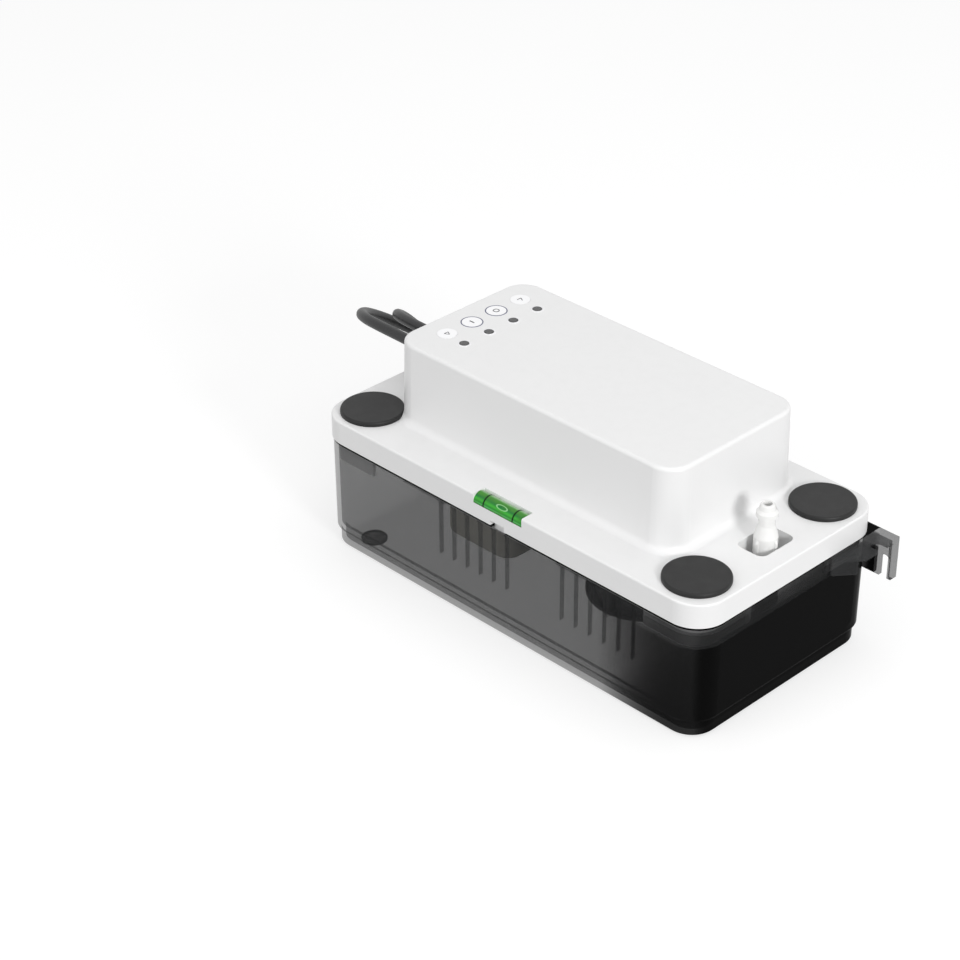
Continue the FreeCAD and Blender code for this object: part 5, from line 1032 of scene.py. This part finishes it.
@dataclass
class Cords:
    """Both cords of the pump, with their tapered strain reliefs."""

    radius: float = 0.0032
    power_exit: Point = (-0.13465, 0.016, 0.098)
    alarm_exit: Point = (-0.13465, 0.0008, 0.098)
    power_lead: tuple[Point, ...] = (
        (-0.163, 0.016, 0.098), (-0.184, 0.0275, 0.091), (-0.193, 0.046, 0.077), (-0.190, 0.066, 0.054),
        (-0.180, 0.084, 0.031), (-0.168, 0.097, 0.012), (-0.161, 0.112, 0.0032))
    power_tail: tuple[Point, ...] = (
        (-0.061, 0.129, 0.010), (-0.041, 0.1125, 0.0115), (-0.017, 0.110, 0.012))
    alarm_lead: tuple[Point, ...] = (
        (-0.164, 0.0008, 0.098), (-0.190, 0.006, 0.0945), (-0.207, 0.023, 0.085), (-0.213, 0.046, 0.070),
        (-0.207, 0.069, 0.053), (-0.192, 0.087, 0.037), (-0.174, 0.099, 0.024), (-0.161, 0.112, 0.016))
    power_turns: float = 7.4375
    alarm_turns: float = 6.1875
    alarm_last: float = 6.944
    alarm_level: float = 0.016
    climb_turns: float = 0.25
    inward_turns: float = 0.32
    relief_length: float = 0.028
    relief_root: float = 0.0066
    relief_tip: float = 0.0044
    relief_round: float = 0.0006
    relief_grooves: int = 6
    groove_start: float = 0.0035
    groove_share: float = 0.8
    groove: tuple[tuple[float, float], ...] = ((0.0, 0.0), (0.0005, 0.0011), (0.0017, 0.0011), (0.0022, 0.0))
    root_length: float = 0.004
    root_lip: float = 0.0002
    root_share: float = 0.75

    def curve(self, name: str, points: Sequence[Sequence[float]]) -> bpy.types.Object:
        """Round cord along one smooth spline.

        Args:
            name: Name of the piece.
            points: Its control points.

        Returns:
            The curve object.
        """
        line = bpy.data.curves.new(name, "CURVE")
        line.dimensions = "3D"
        line.bevel_depth = self.radius
        line.bevel_resolution = 5
        line.use_fill_caps = True
        line.resolution_u = 6
        spline = line.splines.new("NURBS")
        spline.points.add(len(points) - 1)
        for point, place in zip(spline.points, points):
            point.co = (*place, 1.0)
        spline.order_u = 3
        spline.use_endpoint_u = True
        made = bpy.data.objects.new(name, line)
        bpy.context.scene.collection.objects.link(made)
        return made

    def alarm_end(self, coil: CordCoil) -> list[Point]:
        """End of the alarm cord: it climbs onto its own coil and lies down on it.

        Args:
            coil: The coil of the alarm cord.

        Returns:
            The control points after the coil.
        """
        top = coil.level + 2.0 * coil.pitch
        middle = (coil.outer + coil.inner) / 2.0
        points = []
        rest = self.alarm_last - self.alarm_turns
        steps = round(rest * coil.per_turn)
        for index in range(1, steps + 1):
            turn = self.alarm_turns + rest * index / steps
            climb = min((turn - self.alarm_turns) / self.climb_turns, 1.0)
            inward = min(max((turn - self.alarm_turns - self.climb_turns) / self.inward_turns, 0.0), 1.0)
            reach = coil.reach(turn) * (1.0 - inward) + middle * inward
            points.append(coil.point(turn, reach, top - coil.pitch * (1.0 - climb)))
        return points

    def relief(self, name: str, exit_point: Sequence[float]) -> bpy.types.Object:
        """Tapered strain relief with grooves, turned from its profile.

        Args:
            name: Name of the piece.
            exit_point: Where the cord leaves it.

        Returns:
            The piece.
        """
        axis = Vector(exit_point)
        tip, root = axis.x, axis.x + self.relief_length
        profile = [(tip, 0.0), (tip, self.relief_tip - self.relief_round),
                   (tip + self.relief_round, self.relief_tip)]
        pitch = self.relief_length * self.groove_share / self.relief_grooves
        for index in range(self.relief_grooves):
            for ahead, depth in self.groove:
                along = self.groove_start + index * pitch + ahead
                taper = (self.relief_root - self.relief_tip) * along / self.relief_length
                profile.append((tip + along, self.relief_tip + taper - depth))
        profile += [(root - self.root_lip, self.relief_root),
                    (root + self.root_length, self.relief_root * self.root_share),
                    (root + self.root_length, 0.0)]
        corners = [Vector((x, axis.y, axis.z + radius)) for x, radius in profile]
        return finish_mesh(name, turn_profile(corners, axis, (1.0, 0.0, 0.0), False), RELIEF_ANGLE)

    def build(self, effects: Effects) -> list[bpy.types.Object]:
        """Build both cords.

        Args:
            effects: The shared node groups.

        Returns:
            The new pieces.
        """
        jacket = Moulded("cord_jacket", grey(0.012, 0.001), grey(0.020, 0.001), roughness=0.45, spread=0.06,
                         dust=0.03, dust_colour=grey(0.10)).build(effects)
        relief = Moulded("relief_rubber", grey(0.016, 0.001), grey(0.028, 0.001), dust=0.1).build(effects)
        power_coil, alarm_coil = CordCoil(), CordCoil(level=self.alarm_level)
        power = self.curve("power_cord_line", [self.power_exit, *self.power_lead,
                                               *power_coil.points(self.power_turns)[1:], *self.power_tail])
        alarm = self.curve("alarm_cord_line", [self.alarm_exit, *self.alarm_lead,
                                               *alarm_coil.points(self.alarm_turns)[1:],
                                               *self.alarm_end(alarm_coil)])
        for cord, gone in ((power, ("power_cord", "power_cord_coil", "power_cord_tail")),
                           (alarm, ("alarm_cord", "alarm_cord_coil", "alarm_cord_tail"))):
            dress(cord, jacket, "head")
            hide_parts(*gone)
        pieces = [power, alarm]
        for name, where, gone in (("power_relief_ribbed", self.power_exit, "power_strain_relief"),
                                  ("alarm_relief_ribbed", self.alarm_exit, "alarm_strain_relief")):
            made = dress(self.relief(name, where), relief, "head")
            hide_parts(gone)
            pieces.append(made)
        return pieces


# Trim on the head


@dataclass
class Panel:
    """Indicator panel: bezels and rims round the lights, rings and signs on the icon discs."""

    light_x: float = -0.0744
    light_y: float = -0.0226
    icon_x: float = -0.0890
    icon_y: float = -0.0212
    pitch: float = 0.0188
    light_radius: float = 0.0024
    bezel_gap: float = 0.00005
    bezel_width: float = 0.0004
    rim_gap: float = 0.00002
    rim_width: float = 0.0010
    rim_share: float = 0.6
    icon_radius: float = 0.0056
    ring_gap: float = 0.00012
    ring_width: float = 0.0006
    ringed: tuple[Mark, ...] = (Mark.STROKE, Mark.DIAL)
    rise: float = 0.00025
    bevel_share: float = 0.4
    sign_radius: float = 0.0017
    sign_rise: float = 0.00012
    bed: float = 0.00002

    def annulus(self, centre: Vector, inner: float, outer: float, rise: float) -> bmesh.types.BMesh:
        """Flat ring with a little thickness.

        Args:
            centre: Its middle, on the surface that carries it.
            inner: Inner radius.
            outer: Outer radius.
            rise: Thickness.

        Returns:
            The bmesh.
        """
        profile = ((inner, 0.0), (outer, 0.0), (outer - rise * self.bevel_share, rise), (inner, rise))
        corners = [centre + Vector((reach, 0.0, height)) for reach, height in profile]
        return turn_profile(corners, centre, (0.0, 0.0, 1.0), True)

    def sign(self, centre: Vector, mark: Mark) -> bmesh.types.BMesh:
        """Sign of thin printed bars along the sides of a polygon.

        Args:
            centre: Its middle, on the disc.
            mark: Which sign.

        Returns:
            The bmesh.
        """
        sides, drawn, width = mark.value
        shape = bmesh.new()
        for index in range(drawn):
            angle = FULL_TURN * (index + 0.5) / sides
            inradius = self.sign_radius * math.cos(math.pi / sides)
            length = 2.0 * self.sign_radius * math.sin(math.pi / sides)
            middle = centre + Vector((inradius * math.cos(angle), inradius * math.sin(angle), 0.0))
            place = Matrix.Translation(middle) @ Matrix.Rotation(angle, 4, "Z")
            stretch = Matrix.Diagonal((width, length, 2.0 * self.sign_rise, 1.0))
            bmesh.ops.create_cube(shape, size=1.0, matrix=place @ stretch)
        return shape

    def build(self, effects: Effects) -> list[bpy.types.Object]:
        """Build the trim of the panel.

        Args:
            effects: The shared node groups.

        Returns:
            The new pieces.
        """
        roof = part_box("top_housing")[1].z - self.bed
        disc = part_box("icon_discs")[1].z - self.bed
        rim = Moulded("light_rim", grey(0.86, 0.01), grey(0.80, 0.02), roughness=0.25).build(effects)
        bezel = Moulded("light_bezel", grey(0.02, 0.001), grey(0.03, 0.002), roughness=0.3).build(effects)
        ring = Moulded("icon_ring", (0.11, 0.115, 0.19), (0.09, 0.095, 0.16), roughness=0.4).build(effects)
        ink = Moulded("sign_ink", grey(0.07, 0.005), grey(0.10, 0.005)).build(effects)
        pieces = []

        def keep(name: str, shape: bmesh.types.BMesh, material: bpy.types.Material) -> None:
            """Finish one piece of the trim."""
            pieces.append(dress(finish_mesh(name, shape), material, "head"))

        bezel_radius = self.light_radius + self.bezel_width
        ring_radius = self.icon_radius + self.ring_gap
        for number, mark in enumerate(Mark, start=1):
            along = (number - 1) * self.pitch
            light = Vector((self.light_x, self.light_y + along, roof))
            icon = Vector((self.icon_x, self.icon_y + along, roof))
            keep(f"light_bezel_{number}",
                 self.annulus(light, self.light_radius + self.bezel_gap, bezel_radius, self.rise), bezel)
            keep(f"light_rim_{number}",
                 self.annulus(light, bezel_radius + self.rim_gap, bezel_radius + self.rim_width,
                              self.rise * self.rim_share), rim)
            keep(f"icon_sign_{number}", self.sign(Vector((icon.x, icon.y, disc)), mark), ink)
            if mark in self.ringed:
                keep(f"icon_ring_{number}",
                     self.annulus(icon, ring_radius, ring_radius + self.ring_width, self.sign_rise), ring)
        return pieces


def dress_nodes(effects: Effects) -> int:
    """Give every CAD node its finish.

    Args:
        effects: The shared node groups.

    Returns:
        The number of nodes.
    """
    built: dict[str, bpy.types.Material] = {}
    for name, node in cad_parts.items():
        finish = FINISHES.get(name)
        if finish is None:
            continue
        if finish.name not in built:
            built[finish.name] = finish.build(effects)
        node.data.materials.clear()
        node.data.materials.append(built[finish.name])
    return len(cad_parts)


def main() -> None:
    """Build the studio, the cords, the trim and the finishes in order."""
    logging.basicConfig(level=logging.INFO, format="%(message)s")
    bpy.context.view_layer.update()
    effects = Effects()
    Studio().build()
    LOG.info("nodes dressed: %d", dress_nodes(effects))
    for part in (Cords(), Panel()):
        for piece in part.build(effects):
            LOG.info("piece %s", piece.name)


if __name__ == "__main__":
    main()
